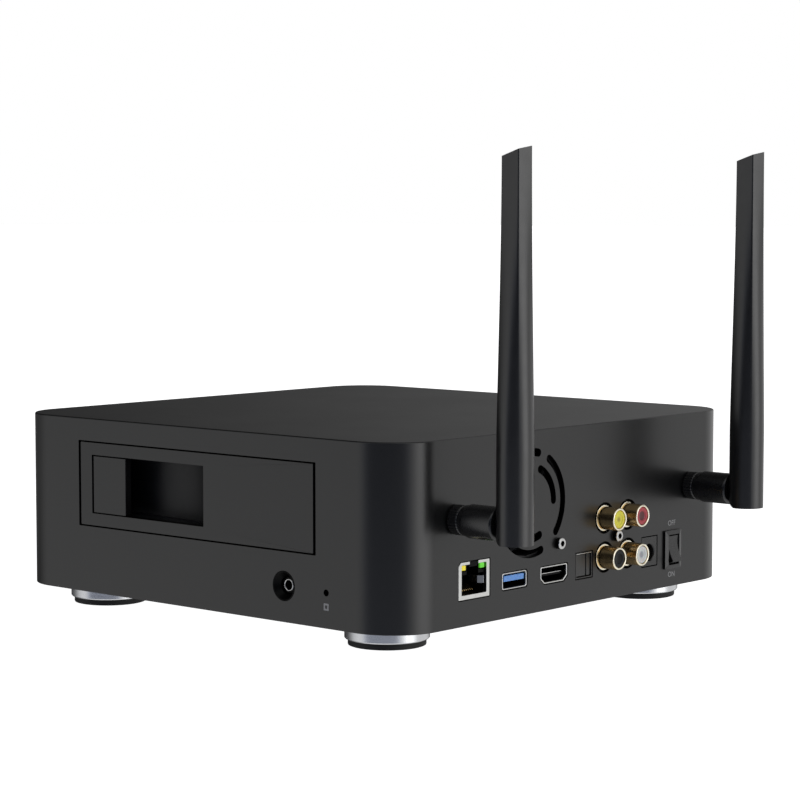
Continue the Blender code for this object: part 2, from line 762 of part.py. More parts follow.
def heatsink():
    """Finned block over the processor, drawn as a comb outline and given its length."""
    half = HEATSINK_WIDTH / 2
    pitch = (HEATSINK_WIDTH - FIN_THICKNESS) / (HEATSINK_FINS - 1)
    outline = [(-half, 0), (half, 0)]
    for index in reversed(range(HEATSINK_FINS)):
        left = -half + index * pitch
        right = left + FIN_THICKNESS
        outline += [(right, HEATSINK_HEIGHT), (left, HEATSINK_HEIGHT)]
        if index > 0:
            outline += [(left, HEATSINK_BASE), (left + FIN_THICKNESS - pitch, HEATSINK_BASE)]
    place_at = (HEATSINK_X, HEATSINK_Y, BOARD_TOP + FIT)
    sink = prism("heatsink", outline, HEATSINK_WIDTH, place_at, OUTLINE_ON_SIDE)
    return finish(sink, DARK_ALUMINIUM)


def foot(name, x, y):
    """Turned ring with a stud into the post, and the rubber pad in the seat underneath."""
    top = -FIT
    bottom = top - FOOT_RING_HEIGHT
    seat = bottom + PAD_SEAT_DEPTH
    seat_radius = FOOT_RADIUS - FOOT_LIP
    profile = [
        (0, STUD_LENGTH),
        (STUD_RADIUS, STUD_LENGTH),
        (STUD_RADIUS, top),
        (FOOT_RADIUS - FOOT_CHAMFER, top),
        (FOOT_RADIUS, top - FOOT_CHAMFER),
        (FOOT_RADIUS, bottom + FOOT_CHAMFER),
        (FOOT_RADIUS - FOOT_CHAMFER, bottom),
        (seat_radius, bottom),
        (seat_radius, seat),
        (0, seat),
    ]
    ring = turned("foot_ring_" + name, profile, (x, y, 0), (0, 0, 0), segments=FOOT_SEGMENTS)
    pad_radius = seat_radius - FIT
    pad_top = seat - FIT
    pad_profile = [
        (0, pad_top),
        (pad_radius, pad_top),
        (pad_radius, FOOT_CHAMFER - FOOT_HEIGHT),
        (pad_radius - FOOT_CHAMFER, -FOOT_HEIGHT),
        (0, -FOOT_HEIGHT),
    ]
    pad = turned("foot_pad_" + name, pad_profile, (x, y, 0), (0, 0, 0), segments=FOOT_SEGMENTS)
    return finish(ring, BRIGHT_METAL), finish(pad, RUBBER)


def mirrored_outline(half):
    """A whole outline from the corners of its right half, which run from below to above."""
    left = [(-across, up) for across, up in reversed(half)]
    return half + left


def drive_bay():
    """Folded cage: floor, sides with two ledges each, flanges under the roof and an end wall."""
    ledge_inside = BAY_INSIDE - BAY_LEDGE_REACH
    lower_ledge_top = RAIL_LOW - FIT
    upper_ledge_low = RAIL_LOW + RAIL_HEIGHT + FIT
    half = [
        (BAY_OUTSIDE, BAY_FLOOR_TOP - BAY_SHEET),
        (BAY_OUTSIDE, BAY_TOP - BAY_SHEET),
        (BAY_OUTSIDE + BAY_FLANGE, BAY_TOP - BAY_SHEET),
        (BAY_OUTSIDE + BAY_FLANGE, BAY_TOP),
        (BAY_INSIDE, BAY_TOP),
        (BAY_INSIDE, upper_ledge_low + BAY_LEDGE),
        (ledge_inside, upper_ledge_low + BAY_LEDGE),
        (ledge_inside, upper_ledge_low),
        (BAY_INSIDE, upper_ledge_low),
        (BAY_INSIDE, lower_ledge_top),
        (ledge_inside, lower_ledge_top),
        (ledge_inside, lower_ledge_top - BAY_LEDGE),
        (BAY_INSIDE, lower_ledge_top - BAY_LEDGE),
        (BAY_INSIDE, BAY_FLOOR_TOP),
    ]
    length = BAY_FRONT_X - BAY_END_X
    middle = ((BAY_FRONT_X + BAY_END_X) / 2, TRAY_CENTRE_Y, 0)
    bay = prism("drive_bay", mirrored_outline(half), length, middle, OUTLINE_ON_SIDE)
    inset = BAY_SHEET / 4
    low = (BAY_END_X - BAY_SHEET, TRAY_CENTRE_Y - BAY_OUTSIDE + inset, BAY_FLOOR_TOP - BAY_SHEET + inset)
    high = (BAY_END_X + OVERLAP, TRAY_CENTRE_Y + BAY_OUTSIDE - inset, BAY_TOP - inset)
    join(bay, block("bay end wall", low, high))
    for index in range(BAY_SLOT_COUNT):
        y = TRAY_CENTRE_Y + (index - (BAY_SLOT_COUNT - 1) / 2) * BAY_SLOT_PITCH
        outline = stadium(BAY_SLOT_LENGTH, BAY_SLOT_WIDTH)
        place_at = (middle[0], y, BAY_FLOOR_TOP - BAY_SHEET / 2)
        cut(bay, prism(f"bay slot {index}", outline, BAY_SHEET + 2 * OVERRUN, place_at, (0, 0, 0)))
    cut(bay, sata_window())
    return finish(bay, SHEET_STEEL)


def sata_window():
    low = (
        BAY_END_X - BAY_SHEET - OVERRUN,
        TRAY_CENTRE_Y - SATA_WIDTH / 2 - FIT,
        SATA_CENTRE_Z - SATA_HEIGHT / 2 - FIT,
    )
    high = (
        BAY_END_X + OVERRUN,
        TRAY_CENTRE_Y + SATA_WIDTH / 2 + FIT,
        SATA_CENTRE_Z + SATA_HEIGHT / 2 + FIT,
    )
    return block("socket window", low, high)


def sata_socket():
    """Upright board behind the bay's end wall, with the socket that the drive pushes on to."""
    board_front = BAY_END_X - BAY_SHEET - FIT
    low_z = BAY_FLOOR_TOP
    low = (board_front - BOARD_THICKNESS, TRAY_CENTRE_Y - SATA_BOARD_WIDTH / 2, low_z)
    high = (board_front, TRAY_CENTRE_Y + SATA_BOARD_WIDTH / 2, low_z + SATA_BOARD_HEIGHT)
    board = block("sata_board", low, high)
    tip = CARRIER_END_X + SATA_REACH - BAY_END_GAP
    low = (board_front + FIT, TRAY_CENTRE_Y - SATA_WIDTH / 2, SATA_CENTRE_Z - SATA_HEIGHT / 2)
    high = (tip, TRAY_CENTRE_Y + SATA_WIDTH / 2, SATA_CENTRE_Z + SATA_HEIGHT / 2)
    socket = block("sata_connector", low, high)
    low = (
        tip - SATA_SLOT_DEPTH,
        TRAY_CENTRE_Y - SATA_WIDTH / 2 + SATA_RIM,
        SATA_CENTRE_Z - SATA_SLOT_HEIGHT / 2,
    )
    high = (
        tip + OVERRUN,
        TRAY_CENTRE_Y + SATA_WIDTH / 2 - SATA_RIM,
        SATA_CENTRE_Z + SATA_SLOT_HEIGHT / 2,
    )
    cut(socket, block("socket slot", low, high))
    return finish(board, BOARD_GREEN), finish(socket, BLACK_PLASTIC)


def display_window():
    """Smoked lens, flush in the front wall, with a flange behind the wall."""
    flange_front = FRONT_FACE + WALL + FIT
    depth = WALL + FIT + WALL / 2
    outline = rounded(rectangle(WINDOW_WIDTH, WINDOW_HEIGHT), WINDOW_CORNER)
    centre = (0, FRONT_FACE + depth / 2, WINDOW_CENTRE_Z)
    lens = prism("display_window", outline, depth, centre, OUTLINE_ON_REAR)
    flange = rectangle(WINDOW_WIDTH + 2 * WINDOW_FLANGE, WINDOW_HEIGHT + 2 * WINDOW_FLANGE)
    behind = (0, flange_front + WALL / 2, WINDOW_CENTRE_Z)
    join(lens, prism("lens flange", flange, WALL, behind, OUTLINE_ON_REAR))
    finish(lens, SMOKED)
    hole = rounded(rectangle(WINDOW_WIDTH + 2 * FIT, WINDOW_HEIGHT + 2 * FIT), WINDOW_CORNER + FIT)
    wall_middle = (0, FRONT_FACE + WALL / 2, WINDOW_CENTRE_Z)
    return prism("window opening", hole, WALL + 2 * OVERRUN, wall_middle, OUTLINE_ON_REAR)


def port_cutter(name, centre_x, width, height, lift=0, gap=FIT):
    """A rectangular opening in the rear panel round a socket that stands on the board."""
    centre_z = PORT_BASE + lift + height / 2
    outline = rectangle(width + 2 * gap, height + 2 * gap)
    return wall_opening(name + " opening", outline, centre_x, centre_z)


def lan_outline(margin):
    right = LAN_WIDTH / 2 + margin
    top = LAN_HEIGHT / 2 + margin
    bevel = LAN_CHAMFER
    return [(-right, -top), (right, -top), (right, top - bevel), (right - bevel, top), (-right, top)]


def lan_socket():
    """Sheet-metal shield with a framed mouth, the moulded insert inside it and two light pipes."""
    centre_z = PORT_BASE + LAN_HEIGHT / 2
    centre = (LAN_CENTRE_X, PORT_FRONT - LAN_DEPTH / 2, centre_z)
    shield = prism("lan_shell", lan_outline(0), LAN_DEPTH, centre, OUTLINE_ON_REAR)
    inside = rectangle(LAN_WIDTH - 2 * LAN_SHEET, LAN_HEIGHT - 2 * LAN_SHEET)
    inside[2] = (inside[2][0], inside[2][1] - LAN_CHAMFER)
    inside.insert(3, (inside[1][0] - LAN_CHAMFER, -inside[1][1]))
    hollow_centre = (LAN_CENTRE_X, centre[1] - LAN_SHEET - OVERRUN / 2, centre_z)
    cut(shield, prism("lan hollow", inside, LAN_DEPTH + OVERRUN, hollow_centre, OUTLINE_ON_REAR))
    mouth_width = LAN_WIDTH - 2 * LAN_FRAME_SIDE
    mouth_height = LAN_HEIGHT - LAN_FRAME_TOP - LAN_FRAME_BOTTOM
    mouth_z = centre_z - LAN_HEIGHT / 2 + LAN_FRAME_BOTTOM + mouth_height / 2
    front = (LAN_CENTRE_X, PORT_FRONT, mouth_z)
    mouth = rectangle(mouth_width, mouth_height)
    cut(shield, prism("lan mouth", mouth, 4 * LAN_SHEET, front, OUTLINE_ON_REAR))
    notch_low = (LAN_CENTRE_X - LAN_NOTCH_WIDTH / 2, PORT_FRONT - 4 * LAN_SHEET, centre_z)
    notch_high = (LAN_CENTRE_X + LAN_NOTCH_WIDTH / 2, PORT_FRONT + OVERRUN, centre_z + LAN_HEIGHT)
    cut(shield, block("lan notch", notch_low, notch_high))
    finish(shield, NICKEL)
    lan_insert(centre_z)
    return wall_opening("lan opening", lan_outline(FIT), LAN_CENTRE_X, centre_z)


def lan_insert(centre_z):
    half_width = LAN_WIDTH / 2 - LAN_SHEET - FIT
    half_height = LAN_HEIGHT / 2 - LAN_SHEET - FIT
    front = PORT_FRONT - LAN_SHEET - FIT
    back = PORT_FRONT - LAN_DEPTH
    bevel = LAN_CHAMFER
    outline = [
        (-half_width, -half_height),
        (half_width, -half_height),
        (half_width, half_height - bevel),
        (half_width - bevel, half_height),
        (-half_width, half_height),
    ]
    centre = (LAN_CENTRE_X, (front + back) / 2, centre_z)
    insert = prism("lan_insert", outline, front - back, centre, OUTLINE_ON_REAR)
    plug_low = centre_z - LAN_HEIGHT / 2 + LAN_FRAME_BOTTOM
    low = (LAN_CENTRE_X - LAN_PLUG_WIDTH / 2, front - LAN_PLUG_DEPTH, plug_low)
    high = (LAN_CENTRE_X + LAN_PLUG_WIDTH / 2, front + OVERRUN, plug_low + LAN_PLUG_HEIGHT)
    cut(insert, block("plug cavity", low, high))
    low = (LAN_CENTRE_X - LAN_LATCH_WIDTH / 2, front - LAN_PLUG_DEPTH, centre_z)
    high = (LAN_CENTRE_X + LAN_LATCH_WIDTH / 2, front + OVERRUN, centre_z + half_height - LAN_SHEET)
    cut(insert, block("latch cavity", low, high))
    led_top = centre_z + LAN_HEIGHT / 2 - LAN_FRAME_TOP
    for name, side, look in (("lan_led_yellow", 1, AMBER_LIGHT), ("lan_led_green", -1, GREEN_LIGHT)):
        centre_x = LAN_CENTRE_X + side * LED_OFFSET
        low = Vector((centre_x - LED_WIDTH / 2, front - LED_LENGTH, led_top - LED_HEIGHT))
        high = Vector((centre_x + LED_WIDTH / 2, front, led_top))
        finish(block(name, low, high), look)
        gap = Vector((FIT, FIT, FIT))
        reach = Vector((FIT, OVERRUN, LAN_HEIGHT))
        cut(insert, block(name + " pocket", low - gap, high + reach))
    return finish(insert, BLACK_PLASTIC)


def usb_socket():
    """Drawn steel shell on two legs, with the insulator block and its tongue."""
    centre_z = PORT_BASE + USB_LIFT + USB_HEIGHT / 2
    centre = (USB_CENTRE_X, PORT_FRONT - USB_DEPTH / 2, centre_z)
    outer = rounded(rectangle(USB_WIDTH, USB_HEIGHT), USB_CORNER)
    inside = rectangle(USB_WIDTH - 2 * USB_SHEET, USB_HEIGHT - 2 * USB_SHEET)
    inner = rounded(inside, USB_CORNER - USB_SHEET)
    shell = prism("usb_shell", outer, USB_DEPTH, centre, OUTLINE_ON_REAR, holes=(inner,))
    for side in (-1, 1):
        leg_x = USB_CENTRE_X + side * (USB_WIDTH / 2 - USB_CORNER - USB_LEG / 2)
        low = (leg_x - USB_LEG / 2, centre[1] - 2 * USB_LEG, PORT_BASE)
        high = (leg_x + USB_LEG / 2, centre[1] + 2 * USB_LEG, PORT_BASE + USB_LIFT + USB_SHEET / 2)
        join(shell, block(f"usb leg {side}", low, high))
    finish(shell, NICKEL)
    inner_width = USB_WIDTH - 2 * USB_SHEET - 2 * FIT
    inner_height = USB_HEIGHT - 2 * USB_SHEET - 2 * FIT
    back = PORT_FRONT - USB_DEPTH
    block_outline = rounded(rectangle(inner_width, inner_height), USB_CORNER - USB_SHEET)
    tongue = prism(
        "usb_tongue",
        block_outline,
        USB_BLOCK_DEPTH,
        (USB_CENTRE_X, back + USB_BLOCK_DEPTH / 2, centre_z),
        OUTLINE_ON_REAR,
    )
    tongue_top = centre_z + inner_height / 2 - USB_TONGUE_DROP
    low = (
        USB_CENTRE_X - USB_TONGUE_WIDTH / 2,
        back + USB_BLOCK_DEPTH - OVERLAP,
        tongue_top - USB_TONGUE_THICKNESS,
    )
    high = (USB_CENTRE_X + USB_TONGUE_WIDTH / 2, PORT_FRONT - USB_TONGUE_RECESS, tongue_top)
    join(tongue, block("usb tongue plate", low, high))
    finish(tongue, PALE_BLUE)
    opening = rounded(rectangle(USB_WIDTH + 2 * FIT, USB_HEIGHT + 2 * FIT), USB_CORNER + FIT)
    return wall_opening("usb opening", opening, USB_CENTRE_X, centre_z)


def hdmi_outline(inset):
    """The socket's outline: square at the top, bevelled towards the board."""
    right = HDMI_WIDTH / 2 - inset
    top = HDMI_HEIGHT / 2 - inset
    slant = inset * math.tan(math.atan2(HDMI_BEVEL_WIDTH, HDMI_BEVEL_HEIGHT) / 2)
    low_right = HDMI_WIDTH / 2 - HDMI_BEVEL_WIDTH - slant
    knee = HDMI_BEVEL_HEIGHT - HDMI_HEIGHT / 2 + slant
    corners = mirrored_outline([(low_right, -top), (right, knee), (right, top)])
    return rounded(corners, HDMI_CORNER - inset / 2)


def hdmi_socket():
    centre_z = PORT_BASE + HDMI_LIFT + HDMI_HEIGHT / 2
    centre = (HDMI_CENTRE_X, PORT_FRONT - HDMI_DEPTH / 2, centre_z)
    inner = hdmi_outline(HDMI_SHEET)
    shell = prism("hdmi_shell", hdmi_outline(0), HDMI_DEPTH, centre, OUTLINE_ON_REAR, holes=(inner,))
    finish(shell, NICKEL)
    back = PORT_FRONT - HDMI_DEPTH
    tongue = prism(
        "hdmi_tongue",
        hdmi_outline(HDMI_SHEET + FIT),
        HDMI_BLOCK_DEPTH,
        (HDMI_CENTRE_X, back + HDMI_BLOCK_DEPTH / 2, centre_z),
        OUTLINE_ON_REAR,
    )
    tongue_top = centre_z + HDMI_HEIGHT / 2 - HDMI_SHEET - HDMI_TONGUE_DROP
    low = (
        HDMI_CENTRE_X - HDMI_TONGUE_WIDTH / 2,
        back + HDMI_BLOCK_DEPTH - OVERLAP,
        tongue_top - HDMI_TONGUE_THICKNESS,
    )
    high = (HDMI_CENTRE_X + HDMI_TONGUE_WIDTH / 2, PORT_FRONT - HDMI_TONGUE_RECESS, tongue_top)
    join(tongue, block("hdmi tongue plate", low, high))
    finish(tongue, BLACK_PLASTIC)
    return wall_opening("hdmi opening", hdmi_outline(-FIT), HDMI_CENTRE_X, centre_z)


def optical_socket():
    """Moulded housing with a square cavity, closed by a shutter that hangs on a rod at its top."""
    centre_z = PORT_BASE + OPTICAL_HEIGHT / 2
    low = (OPTICAL_CENTRE_X - OPTICAL_WIDTH / 2, PORT_FRONT - OPTICAL_DEPTH, PORT_BASE)
    high = (OPTICAL_CENTRE_X + OPTICAL_WIDTH / 2, PORT_FRONT, PORT_BASE + OPTICAL_HEIGHT)
    housing = block("optical_housing", low, high)
    half_width = OPTICAL_WIDTH / 2 - OPTICAL_RIM
    half_height = OPTICAL_HEIGHT / 2 - OPTICAL_RIM
    low = (OPTICAL_CENTRE_X - half_width, PORT_FRONT - OPTICAL_CAVITY_DEPTH, centre_z - half_height)
    high = (OPTICAL_CENTRE_X + half_width, PORT_FRONT + OVERRUN, centre_z + half_height)
    cut(housing, block("optical cavity", low, high))
    hinge_y = PORT_FRONT - SHUTTER_RECESS - SHUTTER_THICKNESS / 2
    hinge_z = centre_z + half_height - SHUTTER_ROD_RADIUS - FIT
    bore_length = 2 * half_width + 2 * (SHUTTER_ROD_SEAT + FIT)
    bore_start = (OPTICAL_CENTRE_X - bore_length / 2, hinge_y, hinge_z)
    bore_radius = SHUTTER_ROD_RADIUS + FIT
    cut(housing, rod("shutter bore", bore_radius, bore_length, bore_start, AXIS_ALONG_X))
    finish(housing, BLACK_PLASTIC)
    hinge = (OPTICAL_CENTRE_X, hinge_y, hinge_z)
    flap_half = half_width - FIT
    low = (-flap_half, -SHUTTER_THICKNESS / 2, FIT - hinge_z + centre_z - half_height)
    high = (flap_half, SHUTTER_THICKNESS / 2, 0)
    flap = block("optical_shutter", low, high, pivot=hinge)
    length = 2 * (half_width + SHUTTER_ROD_SEAT)
    start = (OPTICAL_CENTRE_X - length / 2, hinge_y, hinge_z)
    join(flap, rod("shutter rod", SHUTTER_ROD_RADIUS, length, start, AXIS_ALONG_X, segments=TINY_SEGMENTS))
    finish(flap, SOFT_BLACK)
    return port_cutter("optical", OPTICAL_CENTRE_X, OPTICAL_WIDTH, OPTICAL_HEIGHT)


def rca_places():
    names = ("video", "right", "coaxial", "left")
    looks = (YELLOW, RED, BLACK_PLASTIC, WHITE)
    places = []
    for index, name in enumerate(names):
        column = index % 2
        row = 1 - index // 2
        x = RCA_CENTRE_X + (0.5 - column) * RCA_PITCH_X
        places.append((name, x, RCA_LOW_Z + row * RCA_PITCH_Z, looks[index]))
    return places


def rca_sockets():
    """Four turned barrels, each with a coloured insert, on one moulded block behind the panel."""
    front = REAR_FACE - WALL - FIT
    half_width = RCA_PITCH_X / 2 + RCA_BLOCK_MARGIN
    low = (RCA_CENTRE_X - half_width, front - RCA_BLOCK_DEPTH, PORT_BASE)
    high = (RCA_CENTRE_X + half_width, front, RCA_LOW_Z + RCA_PITCH_Z + RCA_BLOCK_MARGIN)
    body = block("rca_block", low, high)
    openings = []
    for name, x, z, look in rca_places():
        seat_start = (x, front - RCA_SEAT, z)
        seat_radius = RCA_BARREL_RADIUS + FIT
        cut(body, rod("seat " + name, seat_radius, RCA_SEAT + OVERRUN, seat_start, AXIS_OUT_OF_REAR))
        rca_barrel(name, x, z)
        rca_insert(name, x, z, look)
        hole_start = (x, REAR_FACE - WALL - OVERRUN, z)
        hole_length = WALL + 2 * OVERRUN
        hole = rod("rca hole " + name, RCA_PANEL_HOLE_RADIUS, hole_length, hole_start, AXIS_OUT_OF_REAR)
        openings.append(hole)
    screw_z = RCA_LOW_Z + RCA_PITCH_Z / 2
    start = (RCA_CENTRE_X, front - SCREW_LENGTH, screw_z)
    seat_length = SCREW_LENGTH + OVERRUN
    cut(body, rod("block screw seat", SCREW_SHANK_RADIUS + FIT, seat_length, start, AXIS_OUT_OF_REAR))
    finish(body, BLACK_PLASTIC)
    openings.append(panel_screw("panel_screw_sockets", RCA_CENTRE_X, screw_z))
    return openings


def rca_barrel(name, x, z):
    inner_end = REAR_FACE - WALL - FIT - RCA_SEAT + FIT
    flange_back = REAR_FACE - RCA_FLANGE_THICKNESS
    tip = REAR_FACE + RCA_REACH
    profile = [
        (RCA_BORE_RADIUS, tip),
        (RCA_BARREL_RADIUS - FOOT_CHAMFER / 2, tip),
        (RCA_BARREL_RADIUS, tip - FOOT_CHAMFER / 2),
        (RCA_BARREL_RADIUS, REAR_FACE),
        (RCA_FLANGE_RADIUS, REAR_FACE),
        (RCA_FLANGE_RADIUS, flange_back),
        (RCA_BARREL_RADIUS, flange_back),
        (RCA_BARREL_RADIUS, inner_end),
        (RCA_BORE_RADIUS, inner_end),
    ]
    barrel = turned("rca_barrel_" + name, profile, (x, 0, z), AXIS_OUT_OF_REAR, segments=SMALL_SEGMENTS)
    return finish(barrel, GOLD)


def rca_insert(name, x, z, look):
    inner_end = REAR_FACE - WALL - FIT - RCA_SEAT + FIT
    tip = REAR_FACE + RCA_REACH - RCA_INSERT_RECESS
    radius = RCA_BORE_RADIUS - FIT
    profile = [
        (0, inner_end + FIT),
        (RCA_PIN_HOLE_RADIUS, inner_end + FIT),
        (RCA_PIN_HOLE_RADIUS, tip - RCA_MOUTH_DEPTH),
        (RCA_MOUTH_RADIUS, tip),
        (radius, tip),
        (radius, inner_end),
        (0, inner_end),
    ]
    insert = turned("rca_insert_" + name, profile, (x, 0, z), AXIS_OUT_OF_REAR, segments=TINY_SEGMENTS)
    return finish(insert, look)


def dc_socket():
    low = (DC_CENTRE_X - DC_WIDTH / 2, PORT_FRONT - DC_DEPTH, PORT_BASE)
    high = (DC_CENTRE_X + DC_WIDTH / 2, PORT_FRONT, PORT_BASE + DC_HEIGHT)
    body = block("dc_jack", low, high)
    hole_z = PORT_BASE + DC_HOLE_LIFT
    hole_start = (DC_CENTRE_X, PORT_FRONT - DC_HOLE_DEPTH, hole_z)
    length = DC_HOLE_DEPTH + OVERRUN
    cut(body, rod("dc bore", DC_HOLE_RADIUS, length, hole_start, AXIS_OUT_OF_REAR, segments=ROUND_SEGMENTS))
    seat_y = PORT_FRONT - DC_HOLE_DEPTH - DC_PIN_SEAT
    seat_length = DC_PIN_SEAT + OVERRUN
    seat_start = (DC_CENTRE_X, seat_y, hole_z)
    cut(body, rod("dc pin seat", DC_PIN_RADIUS + FIT, seat_length, seat_start, AXIS_OUT_OF_REAR))
    finish(body, BLACK_PLASTIC)
    pin_length = DC_HOLE_DEPTH + DC_PIN_SEAT - FIT - DC_PIN_RECESS
    pin_start = (DC_CENTRE_X, seat_y + FIT, hole_z)
    finish(rod("dc_pin", DC_PIN_RADIUS, pin_length, pin_start, AXIS_OUT_OF_REAR), NICKEL)
    return port_cutter("dc", DC_CENTRE_X, DC_WIDTH, DC_HEIGHT)


def switch_body():
    """Bezel with bevelled sides and the housing behind it, open for the rocker."""
    back = REAR_FACE - SWITCH_DEPTH
    front = REAR_FACE + BEZEL_PROUD
    seat = REAR_FACE + FIT
    outline = (
        (back, BEZEL_OVERLAP),
        (seat, BEZEL_OVERLAP),
        (seat, 0),
        (seat + BEZEL_SIDE, 0),
        (front, BEZEL_BEVEL),
    )
    rings = []
    for y, inset in outline:
        ring = rectangle(SWITCH_WIDTH - 2 * inset, SWITCH_HEIGHT - 2 * inset)
        rings.append([(across, y, up) for across, up in ring])
    bezel = loft("switch_bezel", rings, (SWITCH_CENTRE_X, 0, SWITCH_CENTRE_Z))
    half_width = ROCKER_WIDTH / 2 + FIT
    half_height = ROCKER_REACH + FIT
    pivot_y = REAR_FACE - ROCKER_PIVOT_DEPTH
    low = (SWITCH_CENTRE_X - half_width, REAR_FACE - SWITCH_POCKET_DEPTH, SWITCH_CENTRE_Z - half_height)
    high = (SWITCH_CENTRE_X + half_width, front + OVERRUN, SWITCH_CENTRE_Z + half_height)
    cut(bezel, block("rocker well", low, high))
    bore_length = 2 * (half_width + ROCKER_TRUNNION_LENGTH)
    start = (SWITCH_CENTRE_X - bore_length / 2, pivot_y, SWITCH_CENTRE_Z)
    cut(bezel, rod("trunnion bore", ROCKER_TRUNNION_RADIUS + FIT, bore_length, start, AXIS_ALONG_X))
    finish(bezel, BLACK_PLASTIC)
    gap = FIT - BEZEL_OVERLAP
    opening = rectangle(SWITCH_WIDTH + 2 * gap, SWITCH_HEIGHT + 2 * gap)
    return wall_opening("switch opening", opening, SWITCH_CENTRE_X, SWITCH_CENTRE_Z)


def switch_rocker():
    """Dished rocker, drawn from the side about its pivot and tilted to its off position."""
    tip_angle = math.asin(ROCKER_END_PROUD / ROCKER_REACH)
    half_span = ROCKER_REACH * math.cos(tip_angle)
    dish = [
        (ROCKER_END_PROUD - ROCKER_DISH * (1 - (up / half_span) ** 2), up)
        for up in [half_span * (1 - step / CORNER_STEPS) for step in range(2 * CORNER_STEPS + 1)]
    ]
    foot_angle = math.asin(ROCKER_BACK / ROCKER_REACH)
    lower_end = arc(ROCKER_REACH, -math.pi / 2 + tip_angle, -math.pi / 2 - foot_angle, SMALL_STEPS)
    upper_end = arc(ROCKER_REACH, math.pi / 2 + foot_angle, math.pi / 2 - tip_angle, SMALL_STEPS)
    outline = dish + lower_end[1:] + upper_end[:-1]
    pivot = (SWITCH_CENTRE_X, REAR_FACE - ROCKER_PIVOT_DEPTH, SWITCH_CENTRE_Z)
    tilt = add_empty("rocker_tilt", pivot, ROOT)
    tilt.rotation_euler = (ROCKER_TILT, 0, 0)
    rocker = prism("switch_rocker", outline, ROCKER_WIDTH, (0, 0, 0), OUTLINE_ON_SIDE, parent=tilt)
    length = ROCKER_WIDTH + 2 * ROCKER_TRUNNION_LENGTH
    start = (-length / 2, 0, 0)
    join(rocker, rod("trunnion", ROCKER_TRUNNION_RADIUS, length, start, AXIS_ALONG_X, parent=tilt))
    return finish(rocker, BLACK_PLASTIC)


def panel_screw(name, x, z):
    """Cap screw with a socket in its head. The result is the hole for it in the rear wall."""
    seat = REAR_FACE + FIT
    top = seat + SCREW_HEAD_HEIGHT
    tip = REAR_FACE - SCREW_LENGTH
    profile = [
        (0, top - SCREW_SOCKET_DEPTH),
        (SCREW_SOCKET_RADIUS, top - SCREW_SOCKET_DEPTH),
        (SCREW_SOCKET_RADIUS, top),
        (SCREW_HEAD_RADIUS, top),
        (SCREW_HEAD_RADIUS, seat),
        (SCREW_SHANK_RADIUS, seat),
        (SCREW_SHANK_RADIUS, tip),
        (0, tip),
    ]
    finish(turned(name, profile, (x, 0, z), AXIS_OUT_OF_REAR, segments=TINY_SEGMENTS), NICKEL)
    start = (x, REAR_FACE - WALL - OVERRUN, z)
    return rod(name + " hole", SCREW_HOLE_RADIUS, WALL + 2 * OVERRUN, start, AXIS_OUT_OF_REAR)


def service_jack():
    """Round jack behind a dished hole in the side wall."""
    nose_front = SIDE_FACE - JACK_RECESS
    body_front = nose_front - JACK_NOSE_LENGTH
    top = 2 * JACK_Z - PORT_BASE
    low = (body_front - JACK_BODY_LENGTH, JACK_Y - JACK_BODY_WIDTH / 2, PORT_BASE)
    high = (body_front, JACK_Y + JACK_BODY_WIDTH / 2, top)
    jack = block("serial_jack", low, high)
    nose_start = (body_front - OVERLAP, JACK_Y, JACK_Z)
    join(jack, rod("jack nose", JACK_NOSE_RADIUS, JACK_NOSE_LENGTH + OVERLAP, nose_start, AXIS_OUT_OF_SIDE))
    bore_start = (nose_front - JACK_BORE_DEPTH, JACK_Y, JACK_Z)
    cut(jack, rod("jack bore", JACK_BORE_RADIUS, JACK_BORE_DEPTH + OVERRUN, bore_start, AXIS_OUT_OF_SIDE))
    finish(jack, BLACK_PLASTIC)
    slope = (JACK_DISH_RADIUS - JACK_DISH_FLOOR_RADIUS) / WALL
    start = (SIDE_FACE - WALL - OVERRUN, JACK_Y, JACK_Z)
    return rod(
        "jack dish",
        JACK_DISH_FLOOR_RADIUS - OVERRUN * slope,
        WALL + 2 * OVERRUN,
        start,
        AXIS_OUT_OF_SIDE,
        segments=ROUND_SEGMENTS,
        end_radius=JACK_DISH_RADIUS + OVERRUN * slope,
    )


def reset_control():
    """Small switch on the board, whose stem stands behind a pin-hole in the side wall."""
    front = SIDE_FACE - WALL - RESET_BODY_SETBACK
    top = 2 * RESET_Z - PORT_BASE
    low = (front - RESET_BODY_LENGTH, RESET_Y - RESET_BODY_WIDTH / 2, PORT_BASE)
    high = (front, RESET_Y + RESET_BODY_WIDTH / 2, top)
    body = block("reset_switch", low, high)
    bore_depth = RESET_STEM_SEAT + RESET_TRAVEL + FIT
    bore_start = (front - bore_depth, RESET_Y, RESET_Z)
    cut(body, rod("stem bore", RESET_STEM_RADIUS + FIT, bore_depth + OVERRUN, bore_start, AXIS_OUT_OF_SIDE))
    finish(body, BLACK_PLASTIC)
    stem_start = (front - RESET_STEM_SEAT, RESET_Y, RESET_Z)
    stem_length = RESET_STEM_SEAT + RESET_STEM_PROUD
    finish(rod("reset_button", RESET_STEM_RADIUS, stem_length, stem_start, AXIS_OUT_OF_SIDE), SOFT_BLACK)
    start = (SIDE_FACE - WALL - OVERRUN, RESET_Y, RESET_Z)
    return rod("reset hole", RESET_HOLE_RADIUS, WALL + 2 * OVERRUN, start, AXIS_OUT_OF_SIDE)


